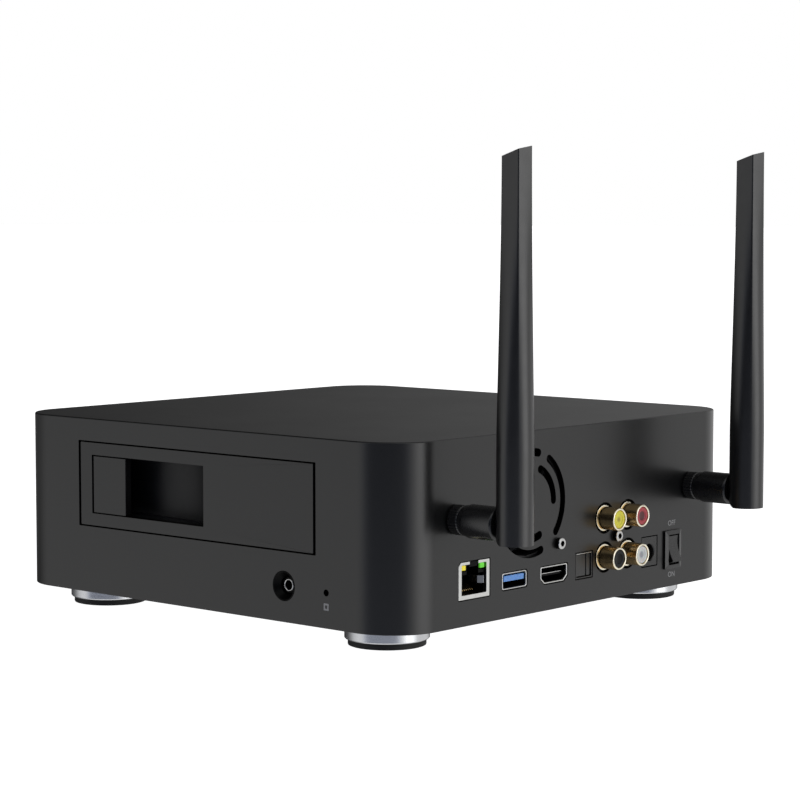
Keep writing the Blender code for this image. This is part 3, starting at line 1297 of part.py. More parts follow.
def slot_outline(radius, degrees):
    """An arc-shaped slot with round ends, about the fan's axis, seen from the front of the fan."""
    start, end = (math.radians(angle) for angle in degrees)
    half = SLOT_WIDTH / 2
    steps = max(SMALL_STEPS, round(CORNER_STEPS * (end - start)))
    outer = arc(radius + half, start, end, steps)
    end_centre = (radius * math.cos(end), radius * math.sin(end))
    far_cap = arc(half, end, end + math.pi, CAP_STEPS, end_centre)
    inner = arc(radius - half, end, start, steps)
    start_centre = (radius * math.cos(start), radius * math.sin(start))
    near_cap = arc(half, start + math.pi, start + math.tau, CAP_STEPS, start_centre)
    points = outer + far_cap[1:-1] + inner + near_cap[1:-1]
    return [(-across, up) for across, up in points]


def fan_openings():
    openings = []
    rings = ((OUTER_SLOT_RADIUS, OUTER_SLOTS_DEGREES), (INNER_SLOT_RADIUS, INNER_SLOTS_DEGREES))
    for radius, slots in rings:
        for degrees in slots:
            name = f"fan slot {radius:.4f} {degrees[0]}"
            openings.append(wall_opening(name, slot_outline(radius, degrees), FAN_X, FAN_Z))
    half = FAN_HOLE_SPACING / 2
    openings.append(panel_screw("panel_screw_fan", FAN_X - half, FAN_Z - half))
    return openings


def fan_frame():
    """Square frame with a round bore, struts at the back and the shaft that the rotor turns on."""
    middle = (FAN_X, (FAN_FRONT + FAN_BACK) / 2, FAN_Z)
    outline = rounded(rectangle(FAN_SIZE, FAN_SIZE), FAN_CORNER)
    frame = prism("fan_frame", outline, FAN_DEPTH, middle, OUTLINE_ON_REAR)
    bore_start = (FAN_X, FAN_BACK - OVERRUN, FAN_Z)
    through = FAN_DEPTH + 2 * OVERRUN
    bore = rod("fan bore", FAN_BORE_RADIUS, through, bore_start, AXIS_OUT_OF_REAR, segments=LARGE_SEGMENTS)
    cut(frame, bore)
    half = FAN_HOLE_SPACING / 2
    for index, (side, level) in enumerate(((-1, -1), (1, -1), (1, 1), (-1, 1))):
        start = (FAN_X + side * half, FAN_BACK - OVERRUN, FAN_Z + level * half)
        name = f"fan hole {index}"
        cut(frame, rod(name, FAN_HOLE_RADIUS, through, start, AXIS_OUT_OF_REAR, segments=TINY_SEGMENTS))
    join(frame, fan_seat())
    return finish(frame, BLACK_PLASTIC)


def fan_seat():
    """Hub plate, struts and shaft as one helper shape that is joined to the frame."""
    inset = FAN_SEAT_THICKNESS / 6
    start = (FAN_X, FAN_BACK + inset, FAN_Z)
    seat = rod(
        "fan seat",
        FAN_HUB_RADIUS,
        FAN_SEAT_THICKNESS - inset,
        start,
        AXIS_OUT_OF_REAR,
        segments=ROUND_SEGMENTS,
    )
    shaft_length = FAN_SEAT_THICKNESS - inset + FAN_HUB_DEPTH - FAN_HUB_WALL
    join(seat, rod("fan shaft", FAN_SHAFT_RADIUS, shaft_length, start, AXIS_OUT_OF_REAR))
    for index in range(FAN_STRUTS):
        turn = math.tau * (index + 1 / 2) / FAN_STRUTS
        low = (0, inset, -FAN_STRUT_WIDTH / 2)
        high = (FAN_BORE_RADIUS + OVERRUN, FAN_SEAT_THICKNESS - 2 * inset, FAN_STRUT_WIDTH / 2)
        join(seat, block(f"fan strut {index}", low, high, rotation=(0, turn, 0), pivot=start))
    return seat


def fan_rotor():
    """Cup-shaped hub with swept blades, all lofted about the fan's axis."""
    axle = add_empty("fan_axle", (FAN_X, FAN_BACK + FAN_SEAT_THICKNESS + FIT, FAN_Z), ROOT)
    axle.rotation_euler = AXIS_OUT_OF_REAR
    bore = FAN_SHAFT_RADIUS + FIT
    profile = [
        (0, FAN_HUB_DEPTH),
        (FAN_HUB_RADIUS, FAN_HUB_DEPTH),
        (FAN_HUB_RADIUS, 0),
        (bore, 0),
        (bore, FAN_HUB_DEPTH - FAN_HUB_WALL),
        (0, FAN_HUB_DEPTH - FAN_HUB_WALL),
    ]
    rotor = turned("fan_rotor", profile, (0, 0, 0), (0, 0, 0), parent=axle)
    for index in range(FAN_BLADES):
        join(rotor, fan_blade(index, axle))
    return finish(rotor, BLACK_PLASTIC)


def fan_blade(index, axle):
    rings = []
    stations = 3
    for station in range(stations + 1):
        share = station / stations
        root = FAN_HUB_RADIUS - OVERLAP
        radius = root + (FAN_TIP_RADIUS - root) * share
        pitch = FAN_ROOT_PITCH + (FAN_TIP_PITCH - FAN_ROOT_PITCH) * share
        chord = FAN_ROOT_CHORD + (FAN_TIP_CHORD - FAN_ROOT_CHORD) * share
        rings.append(blade_section(radius, pitch, chord))
    turn = math.tau * index / FAN_BLADES
    return loft(f"fan blade {index}", rings, (0, 0, 0), rotation=(0, 0, turn), parent=axle)


def blade_section(radius, pitch, chord):
    """Four corners of a thin blade at this radius, wrapped on to the cylinder about the axis."""
    points = []
    half = FAN_BLADE_THICKNESS / 2
    for along, off in ((-chord / 2, -half), (chord / 2, -half), (chord / 2, half), (-chord / 2, half)):
        tangent = along * math.cos(pitch) - off * math.sin(pitch)
        height = along * math.sin(pitch) + off * math.cos(pitch)
        angle = tangent / radius
        level = FAN_HUB_DEPTH / 2 + height
        points.append((radius * math.cos(angle), radius * math.sin(angle), level))
    return points


def tray_front(tray):
    """Flush front with a finger pocket moulded behind it."""
    low = (SIDE_FACE - FRONT_THICKNESS, TRAY_CENTRE_Y - TRAY_FRONT_WIDTH / 2, TRAY_FRONT_LOW)
    high = (SIDE_FACE, TRAY_CENTRE_Y + TRAY_FRONT_WIDTH / 2, TRAY_FRONT_LOW + TRAY_FRONT_HEIGHT)
    front = block("tray_front", low, high, parent=tray)
    back = SIDE_FACE - POCKET_DEPTH
    outside = pocket_outline(back - POCKET_WALL, SIDE_FACE - FRONT_THICKNESS / 2, POCKET_WALL)
    height = POCKET_HEIGHT + 2 * POCKET_WALL
    centre = (0, 0, TRAY_CENTRE_Z)
    join(front, prism("pocket bowl", outside, height, centre, (0, 0, 0), parent=tray))
    inside = pocket_outline(back, SIDE_FACE + OVERRUN, 0)
    cut(front, prism("pocket hollow", inside, POCKET_HEIGHT, centre, (0, 0, 0), parent=tray))
    seat_length = POCKET_HEIGHT + 2 * PIN_SEAT_DEPTH
    start = (LEVER_PIN_X, LEVER_PIN_Y, TRAY_CENTRE_Z - seat_length / 2)
    cut(front, rod("pin seat", LEVER_PIN_RADIUS + FIT, seat_length, start, (0, 0, 0), parent=tray))
    return finish(front, DARK_ALUMINIUM)


def pocket_outline(back, front, margin):
    """The pocket seen from above, with its two back corners rounded."""
    low_y = POCKET_LOW_Y - margin
    high_y = POCKET_LOW_Y + POCKET_WIDTH + margin
    radius = POCKET_CORNER
    near = arc(radius, -math.pi / 2, -math.pi, SMALL_STEPS * 2, (back + radius, low_y + radius))
    far = arc(radius, math.pi, math.pi / 2, SMALL_STEPS * 2, (back + radius, high_y - radius))
    return [(front, high_y), (front, low_y)] + near + far


def lever_outline():
    """The lever seen from above, about its pin: flat face, grip at the free end, knuckle at the other."""
    face = SIDE_FACE - LEVER_PIN_X
    back = face - LEVER_THICKNESS
    near = -LEVER_PIN_INSET
    far = LEVER_WIDTH - LEVER_PIN_INSET
    grip = back - LEVER_GRIP_DEPTH
    turn = math.acos(back / LEVER_KNUCKLE_RADIUS)
    knuckle = arc(LEVER_KNUCKLE_RADIUS, turn, math.tau - turn, 4 * SMALL_STEPS)
    plate = [(back, near), (face, near), (face, far), (grip, far)]
    return plate + [(grip, far - LEVER_GRIP_WIDTH), (back, far - LEVER_GRIP_WIDTH)] + knuckle


def tray_lever(tray):
    """Flush pull lever with a knuckle behind its -Y end, and the pin that it turns on."""
    pivot = (LEVER_PIN_X, LEVER_PIN_Y, TRAY_CENTRE_Z)
    height = POCKET_HEIGHT - 2 * LEVER_END_GAP
    lever = prism("tray_lever", lever_outline(), height, pivot, (0, 0, 0), parent=tray)
    low_start = (LEVER_PIN_X, LEVER_PIN_Y, TRAY_CENTRE_Z - height / 2 - OVERRUN)
    bore_length = height + 2 * OVERRUN
    cut(lever, rod("knuckle bore", LEVER_PIN_RADIUS + FIT, bore_length, low_start, (0, 0, 0), parent=tray))
    finish(lever, DARK_ALUMINIUM)
    pin_length = POCKET_HEIGHT + 2 * (PIN_SEAT_DEPTH - FIT)
    pin_start = (LEVER_PIN_X, LEVER_PIN_Y, TRAY_CENTRE_Z - pin_length / 2)
    pin = rod("lever_pin", LEVER_PIN_RADIUS, pin_length, pin_start, (0, 0, 0), parent=tray)
    return lever, finish(pin, NICKEL)


def tray_carrier(tray):
    """Open-ended tub for the drive, with a rail along each side and windows in its floor."""
    side_top = CARRIER_FLOOR_TOP + CARRIER_SIDE_HEIGHT
    half = [
        (CARRIER_OUTSIDE, CARRIER_LOW),
        (CARRIER_OUTSIDE, RAIL_LOW),
        (RAIL_OUTSIDE, RAIL_LOW),
        (RAIL_OUTSIDE, RAIL_LOW + RAIL_HEIGHT),
        (CARRIER_OUTSIDE, RAIL_LOW + RAIL_HEIGHT),
        (CARRIER_OUTSIDE, side_top),
        (CARRIER_INSIDE, side_top),
        (CARRIER_INSIDE, CARRIER_FLOOR_TOP),
    ]
    length = CARRIER_FRONT_X - CARRIER_END_X
    middle = ((CARRIER_FRONT_X + CARRIER_END_X) / 2, TRAY_CENTRE_Y, 0)
    tub = prism("tray_carrier", mirrored_outline(half), length, middle, OUTLINE_ON_SIDE, parent=tray)
    inset = CARRIER_FLOOR / 6
    low = (CARRIER_FRONT_X - OVERLAP, TRAY_CENTRE_Y - CARRIER_INSIDE, CARRIER_LOW + inset)
    high = (SIDE_FACE - FRONT_THICKNESS - FIT, TRAY_CENTRE_Y + CARRIER_INSIDE, CARRIER_FLOOR_TOP - inset)
    join(tub, block("carrier nose", low, high, parent=tray))
    for side in (-1, 1):
        x = middle[0] + side * (CARRIER_WINDOW_LENGTH + CARRIER_BRIDGE) / 2
        window = rounded(rectangle(CARRIER_WINDOW_LENGTH, CARRIER_WINDOW_WIDTH), CARRIER_BRIDGE / 2)
        place_at = (x, TRAY_CENTRE_Y, CARRIER_LOW + CARRIER_FLOOR / 2)
        cutter = prism(
            f"carrier window {side}",
            window,
            CARRIER_FLOOR + 2 * OVERRUN,
            place_at,
            (0, 0, 0),
            parent=tray,
        )
        cut(tub, cutter)
    for index, share in enumerate(DRIVE_HOLE_SHARES):
        x = CARRIER_FRONT_X - share * DRIVE_LENGTH
        start = (x, TRAY_CENTRE_Y - RAIL_OUTSIDE - OVERRUN, CARRIER_FLOOR_TOP + DRIVE_HOLE_LIFT)
        hole_length = 2 * (RAIL_OUTSIDE + OVERRUN)
        hole = rod(
            f"drive hole {index}",
            DRIVE_HOLE_RADIUS,
            hole_length,
            start,
            AXIS_OUT_OF_REAR,
            parent=tray,
            segments=TINY_SEGMENTS,
        )
        cut(tub, hole)
    return finish(tub, SOFT_BLACK)


def tray_opening():
    low = (
        SIDE_FACE - WALL - OVERRUN,
        TRAY_CENTRE_Y - TRAY_OPENING_WIDTH / 2,
        TRAY_OPENING_LOW,
    )
    high = (
        SIDE_FACE + OVERRUN,
        TRAY_CENTRE_Y + TRAY_OPENING_WIDTH / 2,
        TRAY_OPENING_LOW + TRAY_OPENING_HEIGHT,
    )
    return block("tray opening", low, high)


def antenna_socket(name, x):
    """Threaded bush through the wall, and the nut of the antenna screwed over it."""
    flange_front = REAR_FACE - WALL - FIT
    flange_back = flange_front - SOCKET_FLANGE_THICKNESS
    tip = REAR_FACE + SOCKET_LENGTH
    profile = [
        (0, tip),
        (SOCKET_RADIUS, tip),
        (SOCKET_RADIUS, flange_front),
        (SOCKET_FLANGE_RADIUS, flange_front),
        (SOCKET_FLANGE_RADIUS, flange_back),
        (0, flange_back),
    ]
    bush = turned(
        "antenna_socket_" + name, profile, (x, 0, ANTENNA_Z), AXIS_OUT_OF_REAR, segments=SMALL_SEGMENTS
    )
    finish(bush, GOLD)
    nut_start = REAR_FACE + FIT
    outline = arc(NUT_RADIUS, 0, math.tau * (1 - 1 / NUT_FLATS), NUT_FLATS - 1)
    bore = arc(SOCKET_RADIUS + FIT, 0, math.tau * (1 - 1 / SMALL_SEGMENTS), SMALL_SEGMENTS - 1)
    centre = (x, nut_start + NUT_LENGTH / 2, ANTENNA_Z)
    nut = prism("antenna_nut_" + name, outline, NUT_LENGTH, centre, OUTLINE_ON_REAR, holes=(bore,))
    finish(nut, BLACK_PLASTIC)
    start = (x, REAR_FACE - WALL - OVERRUN, ANTENNA_Z)
    return rod("antenna hole " + name, ANTENNA_HOLE_RADIUS, WALL + 2 * OVERRUN, start, AXIS_OUT_OF_REAR)


def antenna_sleeve(name, swivel):
    """Turned sleeve that swivels on the bush, with the tongue that the blade hinges on."""
    start = FIT + NUT_LENGTH + FIT
    shoulder = ANTENNA_REACH - SLEEVE_SHOULDER
    bore = SOCKET_RADIUS + FIT
    profile = [
        (0, shoulder),
        (SLEEVE_RADIUS - SLEEVE_CHAMFER, shoulder),
        (SLEEVE_RADIUS, shoulder - SLEEVE_CHAMFER),
        (SLEEVE_RADIUS, start + SLEEVE_CHAMFER),
        (SLEEVE_ROOT_RADIUS, start),
        (bore, start),
        (bore, start + SLEEVE_BORE_DEPTH),
        (0, start + SLEEVE_BORE_DEPTH),
    ]
    sleeve = turned("antenna_sleeve_" + name, profile, (0, 0, 0), AXIS_OUT_OF_REAR, parent=swivel)
    neck = shoulder - OVERLAP - ANTENNA_REACH
    tongue = [(neck, -TONGUE_RADIUS)]
    tongue += arc(TONGUE_RADIUS, -math.pi / 2, math.pi / 2, 3 * SMALL_STEPS)
    tongue += [(neck, TONGUE_RADIUS)]
    hinge = (0, ANTENNA_REACH, -HINGE_DROP)
    plate = prism("tongue " + name, tongue, TONGUE_THICKNESS, hinge, OUTLINE_ON_SIDE, parent=swivel)
    join(sleeve, plate)
    length = TONGUE_THICKNESS + 2 * OVERRUN
    cut(sleeve, hinge_bore("tongue bore " + name, length, swivel))
    return finish(sleeve, BLACK_PLASTIC)


def hinge_bore(name, length, swivel):
    """A running hole for the antenna's hinge pin, half of it on each side of the middle."""
    start = (-length / 2, ANTENNA_REACH, -HINGE_DROP)
    radius = HINGE_PIN_RADIUS + FIT
    return rod(name, radius, length, start, AXIS_ALONG_X, parent=swivel, segments=TINY_SEGMENTS)


def squircle(width_x, width_y, flatness, height):
    """A closed ring between a circle, at flatness 2, and a rectangle, at a high flatness."""
    ring = []
    for index in range(BLADE_POINTS):
        angle = math.tau * index / BLADE_POINTS
        across = math.copysign(abs(math.cos(angle)) ** (2 / flatness), math.cos(angle))
        along = math.copysign(abs(math.sin(angle)) ** (2 / flatness), math.sin(angle))
        ring.append((across * width_x / 2, along * width_y / 2, height))
    return ring


def antenna_blade(name, swivel):
    """Rod that is round at the hinge and grows four flat sides and a slanted tip."""
    round_ring = squircle(2 * BLADE_RADIUS, 2 * BLADE_RADIUS, 2, 0)
    tip_ring = squircle(BLADE_TIP_X, BLADE_TIP_Y, BLADE_FLATNESS, 0)
    overshoot = BLADE_LENGTH + BLADE_RADIUS / 2
    rings = [[(x, y, -BLADE_DROP) for x, y, z in round_ring]]
    for share, blend in BLADE_BLEND_SHARES:
        height = BLADE_STRAIGHT + (overshoot - BLADE_STRAIGHT) * share
        ring = []
        for (round_x, round_y, _), (tip_x, tip_y, _) in zip(round_ring, tip_ring):
            x = round_x + (tip_x - round_x) * blend
            y = round_y + (tip_y - round_y) * blend
            ring.append((x, y, height))
        rings.append(ring)
    blade = loft("antenna_blade_" + name, rings, (0, ANTENNA_REACH, -HINGE_DROP), parent=swivel)
    cut(blade, tip_cutter(name, swivel), slot_cutter(name, swivel))
    cut(blade, relief_cutter(name, swivel), heel_cutter(name, swivel))
    cut(blade, hinge_bore("blade bore " + name, HINGE_PIN_LENGTH + 2 * FIT, swivel))
    finish(blade, SOFT_BLACK)
    pin_start = (-HINGE_PIN_LENGTH / 2, ANTENNA_REACH, -HINGE_DROP)
    pin = rod(
        "antenna_pin_" + name,
        HINGE_PIN_RADIUS,
        HINGE_PIN_LENGTH,
        pin_start,
        AXIS_ALONG_X,
        parent=swivel,
        segments=TINY_SEGMENTS,
    )
    return blade, finish(pin, NICKEL)


def tip_cutter(name, swivel):
    """Box turned so that its underside is the slanted top of the blade."""
    reach = 3 * BLADE_RADIUS
    rise = BLADE_TIP_Y / 2 * math.tan(BLADE_TIP_SLOPE) + BLADE_TIP_X / 2 * math.tan(BLADE_TIP_LEAN)
    top = (0, ANTENNA_REACH, BLADE_LENGTH - HINGE_DROP - rise)
    low = (-reach, -reach, 0)
    tool = block("blade tip " + name, low, (reach, reach, reach), parent=swivel, pivot=top)
    tool.rotation_euler = (BLADE_TIP_SLOPE, BLADE_TIP_LEAN, 0)
    return tool


def slot_cutter(name, swivel):
    """Slot for the tongue, open towards the sleeve and below."""
    half = TONGUE_THICKNESS / 2 + FIT
    depth = TONGUE_RADIUS + BLADE_SLOT_PLAY
    low = (-half, -BLADE_RADIUS - OVERRUN, -BLADE_DROP - OVERRUN)
    hinge = (0, ANTENNA_REACH, -HINGE_DROP)
    return block("blade slot " + name, low, (half, depth, depth), parent=swivel, pivot=hinge)


def relief_cutter(name, swivel):
    """Flat on the blade that clears the end of the sleeve when the blade is upright."""
    flat = BLADE_HEEL_GAP - SLEEVE_SHOULDER
    reach = 2 * BLADE_RADIUS
    top = HINGE_DROP + SLEEVE_RADIUS + BLADE_SLOT_PLAY
    low = (-reach, -reach, -reach)
    hinge = (0, ANTENNA_REACH, -HINGE_DROP)
    return block("blade relief " + name, low, (reach, flat, top), parent=swivel, pivot=hinge)


def heel_cutter(name, swivel):
    """Rounds the heel about the hinge, so that it passes the sleeve's shoulder as the blade tilts."""
    reach = 3 * BLADE_RADIUS
    heel = arc(SLEEVE_SHOULDER - BLADE_HEEL_GAP, math.pi, 3 * math.pi / 2, 3 * SMALL_STEPS)
    outline = heel + [(0, -reach), (-reach, -reach), (-reach, 0)]
    hinge = (0, ANTENNA_REACH, -HINGE_DROP)
    return prism("blade heel " + name, outline, 2 * reach, hinge, OUTLINE_ON_SIDE, parent=swivel)


def antennas():
    openings = []
    for name, x in (("right", ANTENNA_X), ("left", -ANTENNA_X)):
        openings.append(antenna_socket(name, x))
        swivel = add_empty("antenna_swivel_" + name, (x, REAR_FACE, ANTENNA_Z), ROOT)
        antenna_sleeve(name, swivel)
        antenna_blade(name, swivel)
    return openings


def build():
    openings = antennas()
    openings.append(lan_socket())
    openings.append(usb_socket())
    openings.append(hdmi_socket())
    openings.append(optical_socket())
    openings += rca_sockets()
    openings.append(dc_socket())
    openings.append(switch_body())
    switch_rocker()
    openings += fan_openings()
    fan_frame()
    fan_rotor()
    openings.append(service_jack())
    openings.append(reset_control())
    openings.append(display_window())
    openings.append(tray_opening())
    tray = add_empty("drive_tray", (0, 0, 0), ROOT)
    tray_front(tray)
    tray_lever(tray)
    tray_carrier(tray)
    drive_bay()
    sata_socket()
    main_board()
    heatsink()
    bottom_cover()
    for name, x, y in corner_places():
        foot(name, x, y)
    finish(chassis_shell(openings), DARK_ALUMINIUM)


build()
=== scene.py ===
# %% [markdown]
# # A desktop media player with a hard drive tray
#
# The object is a square, dark anodised box on four bright feet. Its rear panel carries the
# sockets, the switch, a fan behind curved slots and two rod antennas, and its side has a
# tray for a hard drive. The mechanical model is already made and packed. This lesson
# dresses it: finer outer pieces, a finish for each of them, light and a camera.

# %% Load the packed model
import json
import math

import bmesh
import bpy
from mathutils import Matrix, Vector

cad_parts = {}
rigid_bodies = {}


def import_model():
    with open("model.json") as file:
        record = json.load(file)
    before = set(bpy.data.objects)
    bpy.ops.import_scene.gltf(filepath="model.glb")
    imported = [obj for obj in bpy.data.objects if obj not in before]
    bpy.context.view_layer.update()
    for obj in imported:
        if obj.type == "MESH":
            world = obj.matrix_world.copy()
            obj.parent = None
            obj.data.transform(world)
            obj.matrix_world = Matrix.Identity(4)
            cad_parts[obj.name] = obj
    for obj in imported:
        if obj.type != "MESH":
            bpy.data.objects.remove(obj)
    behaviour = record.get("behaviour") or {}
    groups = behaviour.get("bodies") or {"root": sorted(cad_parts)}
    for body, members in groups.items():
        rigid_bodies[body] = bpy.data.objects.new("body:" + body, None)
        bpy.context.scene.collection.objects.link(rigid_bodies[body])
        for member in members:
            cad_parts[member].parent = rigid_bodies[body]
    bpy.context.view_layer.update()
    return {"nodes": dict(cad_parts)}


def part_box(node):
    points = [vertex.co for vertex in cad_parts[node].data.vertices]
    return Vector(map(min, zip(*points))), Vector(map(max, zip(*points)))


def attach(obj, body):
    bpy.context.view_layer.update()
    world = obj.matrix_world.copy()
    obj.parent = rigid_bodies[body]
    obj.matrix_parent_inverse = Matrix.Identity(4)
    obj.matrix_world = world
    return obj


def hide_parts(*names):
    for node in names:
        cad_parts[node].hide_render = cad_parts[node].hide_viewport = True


for leftover in list(bpy.data.objects):
    bpy.data.objects.remove(leftover, do_unlink=True)

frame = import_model()

# %% [markdown]
# ## Where things are
#
# Every size below is in millimetres, measured from the middle of the case at the lower
# edge of its walls. The packed model is in metres, so one matrix carries a finished mesh
# over. Places could be typed in again from a drawing, but a copied number goes stale when
# the model changes. So they are read from the boxes of the packed pieces.

# %% The case's own coordinates
MM = 0.001
case_low, case_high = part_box("chassis_shell")
ORIGIN = Vector(((case_low.x + case_high.x) / 2, (case_low.y + case_high.y) / 2, case_low.z))
TO_WORLD = Matrix.Translation(ORIGIN) @ Matrix.Scale(MM, 4)
SIDE = (case_high.x - case_low.x) / 2 / MM
REAR = (case_high.y - case_low.y) / 2 / MM
ROOF = (case_high.z - case_low.z) / MM
print(f"case {2 * SIDE:.1f} x {2 * REAR:.1f} x {ROOF:.1f} mm")


# %% Reading where a packed piece is
def span(node):
    """Lowest and highest corner of a packed piece, in millimetres."""
    low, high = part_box(node)
    return (low - ORIGIN) / MM, (high - ORIGIN) / MM


def middle(node):
    low, high = span(node)
    return (low + high) / 2


def depths(node):
    """A piece's inner and outer end, as depths from the rear panel."""
    low, high = span(node)
    return low.y - REAR, high.y - REAR


def on_rear_panel(node, margin=0.0):
    """A piece's left, lower, right and upper limits as drawn on the rear or front wall."""
    low, high = span(node)
    return low.x - margin, low.z - margin, high.x + margin, high.z + margin


def on_side_wall(node):
    low, high = span(node)
    return low.y, low.z, high.y, high.z


def rear_spot(node):
    """Where a piece's axis meets the rear panel, as across and up."""
    centre = middle(node)
    return centre.x, centre.z


def side_spot(node):
    centre = middle(node)
    return centre.y, centre.z


print("the network socket reaches from", [round(depth, 2) for depth in depths("lan_shell")])

# %% [markdown]
# ## Four ways to lay a drawing down
#
# Most pieces start as a flat outline on a wall of the case. Instead of turning finished
# objects by Euler angles, each drawing goes through a small function that says which way
# is across, which is up, and which is out of the wall. Depths into the case are negative.


# %% Planes
def on_rear(across, up, out):
    return Vector((across, REAR + out, up))


def on_side(across, up, out):
    return Vector((SIDE + out, across, up))


def on_front(across, up, out):
    return Vector((across, -REAR - out, up))


def on_ground(across, up, out):
    return Vector((across, up, out))


print("a point 1 mm out of the rear panel:", tuple(on_rear(0, 0, 1)))

# %% [markdown]
# ## Outlines
#
# A machined or moulded edge is never quite sharp, and the small round at a corner is what
# catches the light. So an outline is drawn with sharp corners, and one function rounds
# them. A corner may carry its own radius as a third number.


# %% Rectangles and circles
def rectangle(limits, inset=0.0):
    left, low, right, top = limits
    return [
        (left + inset, low + inset),
        (right - inset, low + inset),
        (right - inset, top - inset),
        (left + inset, top - inset),
    ]


def about(centre, width, height):
    """Limits of a rectangle that is given by its middle and its size."""
    across, up = centre
    return across - width / 2, up - height / 2, across + width / 2, up + height / 2


def on_circle(radius, angle, centre=(0, 0)):
    """The point of a circle at this angle, in degrees."""
    turn = math.radians(angle)
    return centre[0] + radius * math.cos(turn), centre[1] + radius * math.sin(turn)


def arc(radius, start, end, steps, centre=(0, 0)):
    turns = [start + (end - start) * step / steps for step in range(steps + 1)]
    return [on_circle(radius, turn, centre) for turn in turns]


def circle(radius, count=48, centre=(0, 0)):
    return arc(radius, 0, 360 * (1 - 1 / count), count - 1, centre)


print("a quarter of a circle in", len(arc(1, 0, 90, 8)), "points")

# %% Rounded corners
MOST_OF_EDGE = 0.499


def eased(corners, radius, steps=4, closed=True):
    """The outline with every corner rounded, as far as its two edges leave room."""
    points = []
    last = len(corners) - 1
    for index, corner in enumerate(corners):
        here = Vector(corner[:2])
        own = corner[2] if len(corner) > 2 else radius
        if own == 0 or (not closed and index in (0, last)):
            points.append(tuple(here))
            continue
        back = Vector(corners[index - 1][:2]) - here
        ahead = Vector(corners[(index + 1) % len(corners)][:2]) - here
        half = back.angle(ahead) / 2
        room = MOST_OF_EDGE * min(back.length, ahead.length)
        reach = min(own / math.tan(half), room)
        own = reach * math.tan(half)
        inwards = (back.normalized() + ahead.normalized()).normalized()
        centre = here + inwards * own / math.sin(half)
        start = here + back.normalized() * reach - centre
        end = here + ahead.normalized() * reach - centre
        first = math.atan2(start.y, start.x)
        sweep = (math.atan2(end.y, end.x) - first + math.pi) % math.tau - math.pi
        for step in range(steps + 1):
            angle = first + sweep * step / steps
            points.append((centre.x + own * math.cos(angle), centre.y + own * math.sin(angle)))
    return points


print("a rounded square has", len(eased(rectangle((0, 0, 10, 10)), 1)), "points")

# %% [markdown]
# ## From outlines to solids
#
# A few moves make nearly every hard piece here. A skin is stretched over rings with the
# same number of points, which covers prisms, tubes and turned parts alike. A carve is one
# exact Boolean with all the cutters at once. The mesh stays a bmesh until it is done,
# because a bmesh can be passed on and changed without an object in the scene.


# %% Skins, prisms and turned parts
def lay(outline, out, plane):
    return [plane(across, up, out) for across, up in outline]


def skin(rings, closed=False):
    """A surface over rings. It ends in two lids, or runs round into itself when closed."""
    shape = bmesh.new()
    rows = [[shape.verts.new(point) for point in ring] for ring in rings]
    count = len(rows[0])
    for lower, upper in zip(rows, rows[1:] + rows[:1] if closed else rows[1:]):
        for index in range(count):
            after = (index + 1) % count
            shape.faces.new((lower[index], lower[after], upper[after], upper[index]))
    if not closed:
        shape.faces.new(rows[0][::-1])
        shape.faces.new(rows[-1])
    bmesh.ops.recalc_face_normals(shape, faces=shape.faces)
    return shape


def prism(outline, start, end, plane=on_rear):
    return skin([lay(outline, start, plane), lay(outline, end, plane)])


def block(limits, start, end, corner=0.0, plane=on_rear):
    """A prism over a rectangle. Its corners are rounded if they are given a radius."""
    outline = rectangle(limits)
    return prism(eased(outline, corner, 3) if corner else outline, start, end, plane)


def sideways(profile, left, right):
    """A prism drawn in side view, as depth and height, and pulled across the rear panel."""
    return skin([[on_rear(across, up, out) for out, up in profile] for across in (left, right)])


def shell(outline, section, plane=on_rear):
    """A ring-shaped solid: outline(inset) gives each ring, and section lists inset and depth."""
    return skin([lay(outline(inset), out, plane) for inset, out in section], closed=True)


def turned(profile, centre, plane=on_rear, closed=False, count=48):
    """A lathe part about an axis out of the plane. The profile lists radius and height."""
    rings = [lay(circle(radius, count, centre), out, plane) for radius, out in profile]
    return skin(rings, closed)


print("a turned disc has", len(turned([(5, 0), (5, 2)], (0, 0)).faces), "faces")


# %% Carving and joining
def linked(shape, name):
    """Puts a bmesh into the scene as a passing helper object."""
    mesh = bpy.data.meshes.new(name)
    shape.to_mesh(mesh)
    shape.free()
    helper = bpy.data.objects.new(name, mesh)
    bpy.context.scene.collection.objects.link(helper)
    return helper


def merged(shapes):
    """Several bmeshes as one. They mustn't cross each other."""
    together = bmesh.new()
    for shape in shapes:
        mesh = bpy.data.meshes.new("passing")
        shape.to_mesh(mesh)
        shape.free()
        together.from_mesh(mesh)
        bpy.data.meshes.remove(mesh)
    return together


def carve(shape, tools, operation="DIFFERENCE"):
    """Cuts the tools from a bmesh, or adds them to it, in one exact Boolean."""
    body = linked(shape, "body")
    tool = linked(merged(tools), "tool")
    boolean = body.modifiers.new("carve", "BOOLEAN")
    boolean.operation = operation
    boolean.solver = "EXACT"
    boolean.object = tool
    graph = bpy.context.evaluated_depsgraph_get()
    mesh = bpy.data.meshes.new_from_object(body.evaluated_get(graph))
    result = bmesh.new()
    result.from_mesh(mesh)
    for helper in (body, tool):
        bpy.data.meshes.remove(helper.data)
    bpy.data.meshes.remove(mesh)
    return result


def carve_in_turn(shape, tools):
    """Cuts tools that cross each other, with one Boolean for each."""
    for tool in tools:
        shape = carve(shape, [tool])
    return shape


def weld(shape, *others):
    return carve(shape, others, "UNION")


plate = carve(block((0, 0, 9, 9), 0, 1), [block((3, 3, 6, 6), -1, 2)])
print("a plate with a square hole has", len(plate.verts), "corners")
plate.free()

